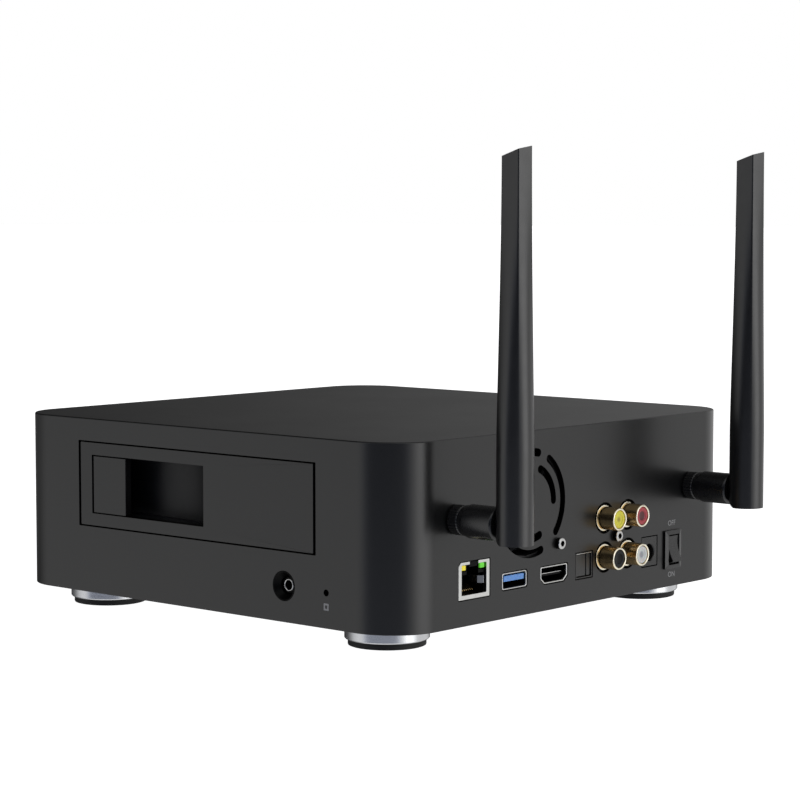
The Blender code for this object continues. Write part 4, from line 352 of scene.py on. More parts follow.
# %% [markdown]
# ## Every piece ends the same way
#
# A piece becomes an object, gets its finish, and is told which body of the mechanism it
# moves with. Flat faces next to small rounds show odd gradients when normals are plainly
# averaged. A bevel of a tenth of a millimetre and area-weighted normals cure that: broad
# faces stay flat and only the round bends the light. A piece may have a second finish on
# its flanks, the faces that stand square to the wall it sits in.

# %% Turning a shape into a piece
SMOOTH_BELOW = math.radians(32)
FLANK = 0.3


def is_rear_flank(face):
    return abs(face.normal.y) < FLANK


def is_side_flank(face):
    return abs(face.normal.x) < FLANK


def soften(piece, edge):
    bevel = piece.modifiers.new("soft edge", "BEVEL")
    bevel.width = edge * MM
    bevel.segments = 2
    bevel.limit_method = "ANGLE"
    bevel.angle_limit = SMOOTH_BELOW
    bevel.miter_outer = "MITER_ARC"


def make(
    name,
    shape,
    slot,
    finish,
    node=None,
    edge=0.0,
    body="player",
    flanks=None,
    is_flank=is_rear_flank,
):
    """Makes a piece of a shape. It stands for the node, if one is given."""
    shape.normal_update()
    for face in shape.faces:
        face.material_index = int(flanks is not None and is_flank(face))
    bmesh.ops.transform(shape, matrix=TO_WORLD, verts=shape.verts)
    mesh = bpy.data.meshes.new(name)
    shape.to_mesh(mesh)
    shape.free()
    mesh.shade_smooth()
    mesh.materials.append(finish)
    if flanks:
        mesh.materials.append(flanks)
    piece = bpy.data.objects.new(name, mesh)
    bpy.context.scene.collection.objects.link(piece)
    if edge:
        soften(piece, edge)
    else:
        mesh.set_sharp_from_angle(angle=SMOOTH_BELOW)
    normals = piece.modifiers.new("flat faces stay flat", "WEIGHTED_NORMAL")
    normals.keep_sharp = True
    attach(piece, body)
    if node:
        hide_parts(node)
    print(f"{name}: {len(mesh.polygons)} faces, moves with {body}")


print(f"edges under {math.degrees(SMOOTH_BELOW):.0f} degrees are shaded smooth")

# %% [markdown]
# ## Writing materials as arithmetic
#
# A node tree for a finish is a formula: noise times a little, plus a base value. Wiring
# that by hand takes a dozen lines a node. A thin wrapper round an output socket lets the
# formula be written as it is read, and every operator adds one Math node.


# %% A socket that does arithmetic
class Wire:
    """An output socket. Arithmetic on it adds Math nodes to the same tree."""

    def __init__(self, graph, socket):
        self.graph = graph
        self.socket = socket

    def math(self, operation, first, second):
        inputs = {0: first, 1: second}
        return self.graph.add("ShaderNodeMath", {"operation": operation}, inputs)

    def __add__(self, other):
        return self.math("ADD", self, other)

    def __radd__(self, other):
        return self.math("ADD", other, self)

    def __sub__(self, other):
        return self.math("SUBTRACT", self, other)

    def __rsub__(self, other):
        return self.math("SUBTRACT", other, self)

    def __mul__(self, other):
        return self.math("MULTIPLY", self, other)

    def __rmul__(self, other):
        return self.math("MULTIPLY", other, self)

    def __pow__(self, other):
        return self.math("POWER", self, other)

    def __rpow__(self, other):
        return self.math("POWER", other, self)

    def above(self, level):
        return self.math("GREATER_THAN", self, level)

    def wrapped(self, period):
        """The value folded back and forth between 0 and half of the period."""
        return self.math("PINGPONG", self, period / 2)

    def eased_between(self, low, high):
        """0 below low, 1 above high, and a smooth rise between."""
        settings = {"interpolation_type": "SMOOTHSTEP"}
        return self.graph.add("ShaderNodeMapRange", settings, {0: self, 1: low, 2: high})


print("reflected operators:", [name for name in vars(Wire) if name.startswith("__r")])


# %% A tree that nodes are added to by name
class Graph:
    """A node tree. add() makes any node: its type, its settings, then its sockets."""

    def __init__(self, tree):
        self.tree = tree

    def add(self, kind, settings=None, sockets=None, output=0):
        node = self.tree.nodes.new(kind)
        for name, value in (settings or {}).items():
            setattr(node, name, value)
        for key, value in (sockets or {}).items():
            self.feed(node.inputs[key], value)
        return Wire(self, node.outputs[output])

    def feed(self, socket, value):
        if isinstance(value, Wire):
            self.tree.links.new(value.socket, socket)
        else:
            socket.default_value = value

    def mix(self, factor, first, second):
        """Colours mixed by a factor. A colour may be a wire or three numbers."""
        colours = [c if isinstance(c, Wire) else (*c, 1) for c in (first, second)]
        inputs = {0: factor, 6: colours[0], 7: colours[1]}
        return self.add("ShaderNodeMix", {"data_type": "RGBA"}, inputs, output=2)

    def vector(self, operation, first, second, output=0):
        inputs = {0: first, 1: second}
        return self.add("ShaderNodeVectorMath", {"operation": operation}, inputs, output)

    def dot(self, first, second):
        return self.vector("DOT_PRODUCT", first, second, output=1)


print("a graph has", [name for name in vars(Graph) if not name.startswith("_")])


# %% A finish on the shader of one material
class Finish(Graph):
    """A material. Its constants go straight on the shader, and item assignment links a wire."""

    def __init__(self, name, colour, roughness, metallic=0.0, **constants):
        self.material = bpy.data.materials.new(name)
        self.material.use_nodes = True
        super().__init__(self.material.node_tree)
        self.shader = self.tree.nodes["Principled BSDF"]
        self["Base Color"] = (*colour, 1)
        self["Roughness"] = roughness
        self["Metallic"] = metallic
        for name, value in constants.items():
            self[name.replace("_", " ")] = value

    def __setitem__(self, socket, value):
        self.feed(self.shader.inputs[socket], value)

    def place(self, stretch=(1, 1, 1)):
        """Coordinates in millimetres that stay with the piece when it moves."""
        here = self.add("ShaderNodeTexCoord", output=3)
        return self.vector("MULTIPLY", here, [share / MM for share in stretch])

    def noise(self, where, scale, detail=2.0, roughness=0.5):
        inputs = {"Vector": where, "Scale": scale, "Detail": detail, "Roughness": roughness}
        return self.add("ShaderNodeTexNoise", {"normalize": True}, inputs)

    def cells(self, where, scale):
        return self.add("ShaderNodeTexVoronoi", {}, {"Vector": where, "Scale": scale})

    def parts(self, where):
        """The three numbers of a vector, as wires."""
        split = self.add("ShaderNodeSeparateXYZ", {}, {0: where}).socket.node
        return [Wire(self, socket) for socket in split.outputs]

    def bump(self, height, depth, strength):
        """Relief from a height between 0 and 1, where 1 is depth millimetres high."""
        inputs = {"Height": height, "Distance": depth * MM, "Strength": strength}
        self["Normal"] = self.add("ShaderNodeBump", {}, inputs)


def times(colour, share):
    return tuple(share * part for part in colour)


print("half of a grey:", times((0.2, 0.2, 0.2), 0.5))

# %% [markdown]
# ## The dark anodised metal of the case
#
# The case is blasted aluminium, anodised almost black. Blasting leaves a fine even grain,
# and anodising fills it with dye, so the colour is nearly neutral and the shine is broad
# and soft. A metallic shader would be the obvious choice, but the dyed oxide layer is a
# clear coat over black: it is dark from in front and bright at a glancing angle. That is
# how a dielectric behaves, so the finish is a rough dielectric with a very dark base.


# %% Case metal
def blasted(name, colour, roughness, level):
    metal = Finish(name, colour, roughness, Specular_IOR_Level=level)
    here = metal.place()
    grain = metal.noise(here, 7.0, 3.0, 0.6)
    cloud = metal.noise(here, 0.035, 2.0)
    shade = grain * 0.6 + cloud * 0.4
    metal["Base Color"] = metal.mix(shade, times(colour, 0.8), times(colour, 1.25))
    metal["Roughness"] = roughness - 0.03 + 0.04 * cloud + 0.02 * grain
    metal.bump(grain, 0.02, 0.25)
    return metal.material


CASE_METAL = blasted("case_metal", (0.0085, 0.0085, 0.0088), 0.29, 0.55)
TRAY_METAL = blasted("tray_metal", (0.0080, 0.0080, 0.0083), 0.29, 0.53)
print("finishes:", CASE_METAL.name, TRAY_METAL.name)

# %% [markdown]
# ## Black plastics
#
# The moulded parts are all black, and only their surface tells them apart: smooth frames
# round the sockets, a coarser moulding behind them, the silky antenna rods, the glossier
# collars at their foot and dull rubber under the feet. Each takes a relief at its own
# scale. Deep black sends almost nothing back. It is for hollows and cut edges. In hollows,
# gaps and on sides turned from the light it is painted shade, and it is also the plastic of
# a few dark mouldings.


# %% Moulded plastics and rubber
def moulded(name, colour, roughness, level, grain_scale, grain_depth):
    plastic = Finish(name, colour, roughness, Specular_IOR_Level=level)
    here = plastic.place()
    grain = plastic.noise(here, grain_scale, 4.0, 0.65)
    smear = plastic.noise(here, 0.25, 2.0)
    plastic["Base Color"] = plastic.mix(grain, colour, times(colour, 1.3))
    plastic["Roughness"] = roughness - 0.04 + 0.08 * smear
    plastic.bump(grain, grain_depth, 0.3)
    return plastic.material


BLACK_MOULDING = moulded("black_moulding", (0.0075, 0.0075, 0.0085), 0.42, 0.45, 5.0, 0.02)
PORT_FACE = moulded("port_face", (0.011, 0.011, 0.0112), 0.27, 0.55, 6.0, 0.02)
# Shutter grey is paler than the panel, partly its own tone and partly painted light for the shaded
# recess of the optical socket.
SHUTTER_GREY = moulded("shutter_grey", (0.022, 0.022, 0.0215), 0.34, 0.52, 6.0, 0.02)
BLACK_AND_PAINTED_SHADE = moulded("deep_black", (0.0020, 0.0020, 0.0021), 0.36, 0.08, 5.0, 0.01)
ANTENNA_SKIN = moulded("antenna_skin", (0.0075, 0.0075, 0.0080), 0.31, 0.66, 6.0, 0.008)
COLLAR_GLOSS = moulded("collar_gloss", (0.0080, 0.0080, 0.0086), 0.27, 0.60, 3.0, 0.004)
RUBBER = moulded("rubber", (0.006, 0.006, 0.006), 0.62, 0.30, 3.5, 0.05)
print("seven black finishes")

# %% [markdown]
# ## Bright metals
#
# A turned ring, a tinned shield and a gold-plated barrel are true metals, so the metallic
# shader fits. Their character is in the marks of making: grooves round the turned foot,
# rolling lines along the sheet, and a faint banding in the plating. The gold comes twice.
# The ends of the barrels take a paler copy of the gold as a painted highlight, since they
# look into the light, and their sides keep the deeper gold.


# %% Turned and rolled metal
def turned_metal(name, colour, roughness, grooves):
    """Grooves that run round the vertical axis, as a lathe leaves them."""
    metal = Finish(name, colour, roughness, 0.86)
    groove = metal.noise(metal.place((0.02, 0.02, 1)), grooves, 2.0, 0.7)
    metal["Roughness"] = roughness - 0.05 + 0.1 * groove
    metal["Base Color"] = metal.mix(groove, times(colour, 0.86), colour)
    metal.bump(groove, 0.01, 0.35)
    return metal.material


def rolled_metal(name, colour, roughness, dull):
    """Sheet with fine lines along one direction and a few dull clouds."""
    metal = Finish(name, colour, roughness, 1.0)
    lines = metal.noise(metal.place((9, 0.4, 9)), 1.0, 2.0)
    cloud = metal.noise(metal.place(), 0.5, 3.0)
    metal["Roughness"] = roughness - 0.04 + 0.05 * lines + 0.06 * cloud
    metal["Base Color"] = metal.mix(cloud * 0.7 + lines * 0.3, times(colour, dull), colour)
    metal.bump(lines, 0.01, 0.2)
    return metal.material


FOOT_METAL = turned_metal("foot_metal", (0.74, 0.75, 0.77), 0.24, 3.5)
TINNED = rolled_metal("tinned_sheet", (0.78, 0.78, 0.76), 0.30, 0.8)
SCREW_METAL = rolled_metal("screw_metal", (0.66, 0.66, 0.65), 0.30, 0.85)
ZINC_SHEET = rolled_metal("zinc_sheet", (0.40, 0.41, 0.42), 0.42, 0.75)
print("one turned and three rolled metals")


# %% Plated metal
def plated_gold(name, deep, pale):
    gold = Finish(name, pale, 0.24, 1.0)
    bands = gold.noise(gold.place((0.3, 2.5, 0.3)), 1.0, 2.0)
    spots = gold.noise(gold.place(), 1.6, 2.0)
    gold["Base Color"] = gold.mix(bands * 0.6 + spots * 0.4, deep, pale)
    gold["Roughness"] = 0.20 + 0.10 * spots
    gold.bump(bands, 0.01, 0.3)
    return gold.material


GOLD = plated_gold("gold_plate", (0.60, 0.40, 0.16), (0.92, 0.70, 0.38))
# A paler copy of the gold: a painted highlight for the barrel ends that face the light.
GOLD_PAINTED_HIGHLIGHT = plated_gold("pale_gold_plate", (0.92, 0.84, 0.62), (1.0, 0.97, 0.86))
print("finishes:", GOLD.name, GOLD_PAINTED_HIGHLIGHT.name)

# %% [markdown]
# ## Coloured plastics and small lights
#
# The phono inserts and the tongue of the data socket are dyed plastic with a little light
# going through. Subsurface scattering gives that milky edge at almost no cost. The shade in
# an insert's hole is painted: its colour darkens towards its contact by a mask of the
# distance from its axis. The two light pipes of the network socket glow weakly, because the
# photograph shows them lit.


# %% Dyed plastic
def painted_hole_shade(plastic, node, inner, outer, deep, colour):
    """Painted shade of the hole: the colour turned to a deep one within two radii of a barrel's
    axis.
    """
    axis = tuple(middle(node) + ORIGIN / MM)
    across, _, up = plastic.parts(plastic.vector("SUBTRACT", plastic.place(), axis))
    away = (across * across + up * up) ** 0.5
    return plastic.mix(away.eased_between(inner, outer), deep, colour)


def dyed(name, colour, core=None, level=0.5):
    roughness = 0.32
    milky = {"Subsurface_Weight": 0.15, "Subsurface_Scale": 0.5 * MM}
    plastic = Finish(name, colour, roughness, Specular_IOR_Level=level, **milky)
    cloud = plastic.noise(plastic.place(), 0.9, 3.0)
    outside = plastic.mix(cloud, times(colour, 0.88), colour)
    plastic["Base Color"] = painted_hole_shade(plastic, *core, outside) if core else outside
    plastic["Roughness"] = roughness - 0.05 + 0.1 * cloud
    plastic.bump(plastic.noise(plastic.place(), 6.0), 0.01, 0.2)
    return plastic.material


# Painted shade in the inserts' holes: the barrel, the inner and outer radius of the fade, and the
# dark colour.
YELLOW_HOLE_SHADE = ("rca_barrel_video", 0.2, 1.5, (0.36, 0.28, 0.02))
RED_HOLE_SHADE = ("rca_barrel_right", 1.5, 1.9, (0.10, 0.008, 0.010))
WHITE_HOLE_SHADE = ("rca_barrel_left", 0.6, 1.8, (0.30, 0.32, 0.35))
BLACK_HOLE_SHADE = ("rca_barrel_coaxial", 1.8, 2.1, (0.001, 0.001, 0.001))
YELLOW = dyed("yellow_plastic", (0.80, 0.72, 0.05), YELLOW_HOLE_SHADE)
RED = dyed("red_plastic", (0.46, 0.045, 0.06), RED_HOLE_SHADE)
WHITE = dyed("white_plastic", (0.70, 0.71, 0.70), WHITE_HOLE_SHADE)
BLACK_INSERT = dyed("black_insert", (0.012, 0.014, 0.016), BLACK_HOLE_SHADE, 0.16)
BLUE = dyed("blue_plastic", (0.14, 0.34, 0.78))
print("five dyed plastics")


# %% Light pipes
def light_pipe(name, colour, strength):
    pipe = Finish(name, colour, 0.2, Emission_Strength=strength)
    core = pipe.noise(pipe.place(), 0.8, 1.0)
    glow = tuple(min(1.0, part) for part in times(colour, 1.5))
    pipe["Emission Color"] = pipe.mix(core, colour, glow)
    pipe["Base Color"] = pipe.mix(core, times(colour, 0.7), colour)
    return pipe.material


AMBER_LIGHT = light_pipe("amber_light", (0.62, 0.52, 0.03), 0.55)
GREEN_LIGHT = light_pipe("green_light", (0.10, 0.52, 0.03), 0.55)
print("finishes:", AMBER_LIGHT.name, GREEN_LIGHT.name)

# %% [markdown]
# ## Circuit board, window and ink
#
# The circuit boards show only when the tray is out. They have copper under green lacquer,
# so their colour steps between two greens along a maze of tracks. The display window is
# dark glass-like plastic, and the printed words are matt ink that hardly fills the grain
# below it.


# %% Circuit board
def circuit_board():
    board = Finish("circuit_board", (0.012, 0.07, 0.03), 0.35)
    here = board.place()
    across, along, _ = board.parts(here)
    tracks = (across.wrapped(1.6) - 0.35).above(0.0) * (along.wrapped(5.0) - 0.7).above(0.0)
    copper = tracks * board.cells(board.place((0.12, 0.12, 0.12)), 1.0).above(0.42)
    board["Base Color"] = board.mix(copper, (0.008, 0.05, 0.022), (0.02, 0.12, 0.045))
    board["Roughness"] = 0.28 + 0.1 * board.noise(here, 2.0)
    board.bump(copper, 0.03, 0.5)
    return board.material


BOARD = circuit_board()
print("finish:", BOARD.name)


# %% Smoked window and printing ink
def smoked_window():
    clear_coat = {"Coat_Weight": 0.5, "Coat_Roughness": 0.03}
    glass = Finish("smoked_window", (0.002, 0.002, 0.003), 0.06, **clear_coat)
    dust = glass.noise(glass.place(), 0.4, 4.0)
    glass["Roughness"] = 0.05 + 0.05 * dust
    glass["Base Color"] = glass.mix(dust, (0.0015, 0.0015, 0.002), (0.004, 0.004, 0.005))
    return glass.material


def printing_ink():
    ink = Finish("printing_ink", (0.20, 0.20, 0.205), 0.55)
    cover = ink.noise(ink.place(), 9.0, 3.0)
    ink["Base Color"] = ink.mix(cover, (0.22, 0.22, 0.225), (0.36, 0.36, 0.365))
    ink["Roughness"] = 0.5 + 0.1 * cover
    ink.bump(cover, 0.01, 0.2)
    return ink.material


SMOKED = smoked_window()
INK = printing_ink()
print("finishes:", SMOKED.name, INK.name)

# %% [markdown]
# ## The case
#
# Roof and walls are one drawn or milled skin: a rounded square with a tiny round where the
# walls meet the roof. It could be a cube with a bevel modifier, but then the wide corners
# and the fine roof edge would share one setting. Here the outline is a function of how far
# it is inset, and a short list of insets and heights is the whole section, inside and out.

# %% Section of the case
CASE_CORNER = 19.1
CASE_WALL = 2.0
ROOF_EDGE = 0.5
RIM_EDGE = 0.15
CORNER_STEPS = 24


def case_outline(inset):
    walls = rectangle((-SIDE, -REAR, SIDE, REAR), inset)
    return eased(walls, CASE_CORNER - inset, CORNER_STEPS)


def case_skin():
    roof_round = arc(ROOF_EDGE, 0, 90, 5, (-ROOF_EDGE, ROOF - ROOF_EDGE))
    section = [(CASE_WALL, ROOF - CASE_WALL), (CASE_WALL, 0), (RIM_EDGE, 0), (0, RIM_EDGE)]
    section += [(-out, height) for out, height in roof_round]
    return skin([lay(case_outline(inset), height, on_ground) for inset, height in section])


print("the case outline has", len(case_outline(0)), "points")

# %% [markdown]
# ## Openings in the panels
#
# Each socket looks out through a hole a third of a millimetre wider than itself, and the
# dark line round it is that gap. The fan draws through six curved slots on two circles.
# The service jack sits in a cup painted black for the shade of its recess. All of them are
# cutters that stand through the wall, and they are taken away together.

# %% Slots for the fan
FIT = 0.3
THROUGH = 1.0
THROUGH_WALL = (-CASE_WALL - THROUGH, THROUGH)
SLOT_WIDTH = 2.85
SLOT_RINGS = (
    (17.9, ((-39, 56), (77, 172), (193, 288))),
    (12.6, ((0, 66), (113, 179), (226, 292))),
)
FAN = rear_spot("fan_frame")


def slot_outline(radius, start, end):
    """An arc-shaped slot with round ends about the fan's axis, seen from behind the case."""
    half = SLOT_WIDTH / 2
    steps = round((end - start) / 5)
    points = arc(radius + half, start, end, steps)
    points += arc(half, end, end + 180, 8, on_circle(radius, end))[1:-1]
    points += arc(radius - half, end, start, steps)
    points += arc(half, start + 180, start + 360, 8, on_circle(radius, start))[1:-1]
    return [(FAN[0] - across, FAN[1] + up) for across, up in points]


FAN_SLOTS = [slot_outline(radius, *ends) for radius, slots in SLOT_RINGS for ends in slots]
print(len(FAN_SLOTS), "slots in front of the fan")

# %% Outlines of the sockets
LAN_CHAMFER = 1.2
USB_CORNER = 0.9
USB_HEIGHT = 5.9
HDMI_BEVEL = (2.2, 1.9)


def lan_outline(inset):
    """The network socket, with one upper corner cut off."""
    left, low, right, top = on_rear_panel("lan_shell", -inset)
    corners = [(left, low), (right, low), (right, top - LAN_CHAMFER), (right - LAN_CHAMFER, top)]
    return eased(corners + [(left, top)], 0.25, 3)


def usb_outline(inset):
    left, _, right, top = on_rear_panel("usb_shell", -inset)
    low = top - USB_HEIGHT + 2 * inset
    return eased(rectangle((left, low, right, top)), USB_CORNER - inset / 2, 5)


def hdmi_outline(inset):
    """Square at the top and bevelled towards the board."""
    left, low, right, top = on_rear_panel("hdmi_shell", -inset)
    across, up = HDMI_BEVEL
    slant = inset * math.tan(math.atan2(across, up) / 2)
    narrow = across + slant - inset
    knee = low + up + slant - inset
    corners = [(left + narrow, low), (right - narrow, low), (right, knee), (right, top)]
    return eased(corners + [(left, top), (left, knee)], 0.7 - inset / 2, 4)


print("outlines:", len(lan_outline(0)), len(usb_outline(0)), len(hdmi_outline(0)), "points")

# %% Cutters for the rear panel
RCA_NAMES = ("video", "right", "coaxial", "left")
SCREWS = ("panel_screw_fan", "panel_screw_sockets")
HANDS = ("right", "left")
SWITCH_OVERLAP = 0.6
RCA_HOLE, SCREW_HOLE, ANTENNA_HOLE = 5.7, 1.6, 3.5


def rear_cutters():
    margins = {"optical_housing": FIT, "dc_jack": FIT, "switch_bezel": -SWITCH_OVERLAP}
    outlines = FAN_SLOTS + [outline(-FIT) for outline in (lan_outline, usb_outline, hdmi_outline)]
    for node, margin in margins.items():
        outlines.append(eased(rectangle(on_rear_panel(node, margin)), 0.2, 3))
    outlines += [circle(RCA_HOLE, 48, rear_spot("rca_barrel_" + name)) for name in RCA_NAMES]
    outlines += [circle(SCREW_HOLE, 24, rear_spot(node)) for node in SCREWS]
    outlines += [circle(ANTENNA_HOLE, 32, rear_spot("antenna_socket_" + hand)) for hand in HANDS]
    return [prism(outline, *THROUGH_WALL) for outline in outlines]


print("holes in the rear panel:", len(rear_cutters()))

# %% Cutters for the side and the front
TRAY = on_side_wall("tray_front")
TRAY_PLAY = (1.1, 0.5)
JACK = side_spot("serial_jack")
JACK_CUP = 5.25
RESET = side_spot("reset_button")
RESET_HOLE = 1.15
WINDOW_CORNER = 1.5
WINDOW_FLANGE = 3.0


def side_cutters():
    left, low, right, top = TRAY
    along, up = TRAY_PLAY
    opening = (left - along, low - up, right + along, top + up)
    start, end = THROUGH_WALL
    return [
        block(opening, start, end, 0.25, on_side),
        turned([(JACK_CUP, start), (JACK_CUP, end)], JACK, on_side),
        turned([(RESET_HOLE, start), (RESET_HOLE, end)], RESET, on_side, count=24),
    ]


def window_outline(inset):
    limits = on_rear_panel("display_window", -WINDOW_FLANGE)
    return eased(rectangle(limits, inset), WINDOW_CORNER - inset, 5)


def front_cutter():
    return prism(window_outline(-FIT), *THROUGH_WALL, on_front)


print(f"the tray's front is {TRAY[2] - TRAY[0]:.1f} x {TRAY[3] - TRAY[1]:.1f} mm")


# %% The finished case
def is_cut_edge(face):
    """True for the edges that were cut in the walls, which take the near-black second finish."""
    place = face.calc_center_median()
    if not 1.0 < place.z < ROOF - CASE_WALL:
        return False
    in_rear = place.y > REAR - CASE_WALL and abs(place.x) < SIDE - CASE_CORNER
    in_side = place.x > SIDE - CASE_WALL and abs(place.y) < REAR - CASE_CORNER
    return (in_rear and is_rear_flank(face)) or (in_side and is_side_flank(face))


case = carve(case_skin(), rear_cutters() + side_cutters() + [front_cutter()])
edges = {"flanks": BLACK_AND_PAINTED_SHADE, "is_flank": is_cut_edge}
make("case_shell", case, "case", CASE_METAL, "chassis_shell", 0.1, **edges)

# %% [markdown]
# ## The display window
#
# A smoked lens lies flush in the front wall, and the display glows through it when it is
# on. Here it is off, so a dark, very smooth plate with a fine round along its edge is all
# that shows.

# %% Display window
LENS_SECTION = [(1.2, -3.0), (0, -3.0), (0, -0.25), (0.08, -0.08), (0.25, 0)]
lens = skin([lay(window_outline(inset), out, on_front) for inset, out in LENS_SECTION])
make("display_lens", lens, "smoked_window", SMOKED, "display_window")

# %% [markdown]
# ## The front of the drive tray
#
# The tray closes flush with the wall, and only a fine dark line shows where it ends. Its
# face has a window, with a scooped black pocket behind it for two fingers. The face is a
# ring between two outlines, so no Boolean is needed. The scoop is drawn from above and
# hollowed out of a block.

# %% Tray face
FACE_THICKNESS = 3.2
POCKET_LOW, POCKET_HIGH = -53.4, 5.4
POCKET_HALF = 10.8
TRAY_Z = (TRAY[1] + TRAY[3]) / 2
POCKET_FLOOR, POCKET_TOP = TRAY_Z - POCKET_HALF, TRAY_Z + POCKET_HALF


def tray_face():
    outer = eased(rectangle(TRAY), 0.3, 3)
    inner = eased(rectangle((POCKET_LOW, POCKET_FLOOR, POCKET_HIGH, POCKET_TOP)), 0.25, 3)
    back = -FACE_THICKNESS
    section = ((outer, back), (outer, 0), (inner, 0), (inner, back))
    return skin([lay(outline, out, on_side) for outline, out in section], closed=True)


# The flanks of the face, round its edge and its window, are black as painted shade in the gaps.
edges = {"flanks": BLACK_AND_PAINTED_SHADE, "is_flank": is_side_flank}
make("tray_face", tray_face(), "tray_face", TRAY_METAL, "tray_front", 0.12, "tray", **edges)

# %% Finger pocket
POCKET_DEPTH = 11.0
POCKET_WALL = 1.5
POCKET_CORNER = 3.5
SCOOP_LENGTH = 30.0
SCOOP_STEPS = 16


def scoop(margin, front):
    """The pocket from above: deep and square under the lever, running out in a long curve."""
    back = SIDE - POCKET_DEPTH - margin
    low, high = POCKET_LOW - margin, POCKET_HIGH + margin
    reach = POCKET_DEPTH + margin
    curve = []
    for step in range(SCOOP_STEPS + 1):
        turn = math.radians(90 * step / SCOOP_STEPS)
        across = back + reach * (1 - math.cos(turn))
        if across < front:
            curve.append((across, high - SCOOP_LENGTH * (1 - math.sin(turn))))
    start = [(front, low), (back, low), curve[0]]
    corner = eased(start, POCKET_CORNER, 8, closed=False)[:-1]
    return corner + curve + [(front, curve[-1][1] + 0.01)]


def finger_pocket():
    front = SIDE - FACE_THICKNESS - 0.02
    outside = scoop(POCKET_WALL, front)
    inside = scoop(0.0, front + THROUGH)
    body = prism(outside, POCKET_FLOOR - POCKET_WALL, POCKET_TOP + POCKET_WALL, on_ground)
    return carve(body, [prism(inside, POCKET_FLOOR, POCKET_TOP, on_ground)])


make("finger_pocket", finger_pocket(), "black_moulding", BLACK_MOULDING, edge=0.2, body="tray")

# %% [markdown]
# ## The pull lever
#
# A small flap lies flush over one end of the pocket. It swings out on a vertical pin and
# draws the tray off its socket. Seen from above it is a plate with a knuckle round the
# pin at one end and a lip for the fingertip at the other, so that view is the outline.

# %% Lever
LEVER_THICKNESS = 1.6
LEVER_LENGTH = 17.3
LEVER_START = 3.2
KNUCKLE = 1.9
LIP_DEPTH, LIP_WIDTH = 1.2, 2.2
PIN_BORE = 1.1
PIN = middle("lever_pin")


def lever():
    face = SIDE - PIN.x
    back = face - LEVER_THICKNESS
    far = LEVER_LENGTH - LEVER_START
    turn = math.degrees(math.acos(back / KNUCKLE))
    outline = [(back, -LEVER_START), (face, -LEVER_START), (face, far), (back - LIP_DEPTH, far)]
    outline += [(back - LIP_DEPTH, far - LIP_WIDTH), (back, far - LIP_WIDTH)]
    outline += arc(KNUCKLE, turn, 360 - turn, 24)
    outline = [(PIN.x + across, PIN.y + along) for across, along in outline]
    low, high = span("tray_lever")
    plate = prism(outline, low.z, high.z, on_ground)
    bore = [(PIN_BORE, low.z - THROUGH), (PIN_BORE, high.z + THROUGH)]
    return carve(plate, [turned(bore, (PIN.x, PIN.y), on_ground)])


make("pull_lever", lever(), "lever_face", TRAY_METAL, "tray_lever", 0.12, "tray_lever")

# %% [markdown]
# ## Feet
#
# Four turned aluminium rings stand off the case, each with a rubber pad pressed into it.
# A turned part is its profile and nothing more: radius and height from top to bottom.

# %% Foot ring and pad
GROOVE_DEPTH = 0.15
RING_WALL = 0.9


def foot_ring(radius, floor):
    groove, inside = radius - GROOVE_DEPTH, radius - RING_WALL
    profile = [(radius - 0.4, -FIT), (radius, -0.6), (radius, -1.5), (groove, -1.6)]
    profile += [(groove, -1.75), (radius, -1.85), (radius, floor + 0.35)]
    return profile + [(radius - 0.3, floor), (inside, floor), (inside, floor + 1.2)]


def foot_pad(radius, floor):
    profile = [(radius, floor + 3.2), (radius, floor + 0.35), (radius - 0.12, floor + 0.1)]
    return profile + [(radius - 0.4, floor), (radius - 4, floor), (radius - 4.4, floor + 0.4)]


for corner in ("front_left", "front_right", "rear_left", "rear_right"):
    for part, profile, name, slot, finish in (
        ("foot_ring_", foot_ring, "foot_ring_turned_", "foot_ring", FOOT_METAL),
        ("foot_pad_", foot_pad, "foot_pad_rubber_", "rubber", RUBBER),
    ):
        low, high = span(part + corner)
        foot = middle("foot_ring_" + corner)
        section = profile((high.x - low.x) / 2, low.z)
        shape = turned(section, (foot.x, foot.y), on_ground, count=72)
        make(name + corner, shape, slot, finish, part + corner)

# %% [markdown]
# ## Network socket
#
# A tinned shield stands round a black insert. Its mouth is narrower than the shield, with
# a notch at the top for the plug's latch, two light pipes in the upper corners, eight
# gilded contact wires below and a springy tab that grips the plug from each side.

# %% Shield of the network socket
LAN_MOUTH_SIDE, LAN_MOUTH_TOP, LAN_MOUTH_BOTTOM = 1.6, 1.0, 1.5
LAN_NOTCH = 4.6
LAN_SHEET = 0.5
lan_left, lan_low, lan_right, lan_top = on_rear_panel("lan_shell")
lan_x = (lan_left + lan_right) / 2
lan_back, lan_front = depths("lan_shell")
lan_floor = lan_low + LAN_MOUTH_BOTTOM


def lan_shield():
    body = prism(lan_outline(0), lan_back, lan_front)
    hollow = prism(lan_outline(LAN_SHEET), lan_back - THROUGH, lan_front - LAN_SHEET)
    cut = (lan_front - 4 * LAN_SHEET, lan_front + THROUGH)
    left, right = lan_left + LAN_MOUTH_SIDE, lan_right - LAN_MOUTH_SIDE
    mouth = (left, lan_floor, right, lan_top - LAN_MOUTH_TOP)
    notch = about((lan_x, lan_top), LAN_NOTCH, 4 * LAN_MOUTH_TOP)
    return carve_in_turn(body, [hollow, block(mouth, *cut, 0.2), block(notch, *cut)])


make("lan_shield", lan_shield(), "nickel", TINNED, "lan_shell", 0.12)

# %% Insert of the network socket
PLUG_WIDTH, PLUG_HEIGHT, PLUG_DEPTH = 11.9, 6.9, 12.5
LATCH_WIDTH = 6.2
LAN_LEDS = ("lan_led_yellow", "lan_led_green")
insert_front = lan_front - LAN_SHEET - FIT


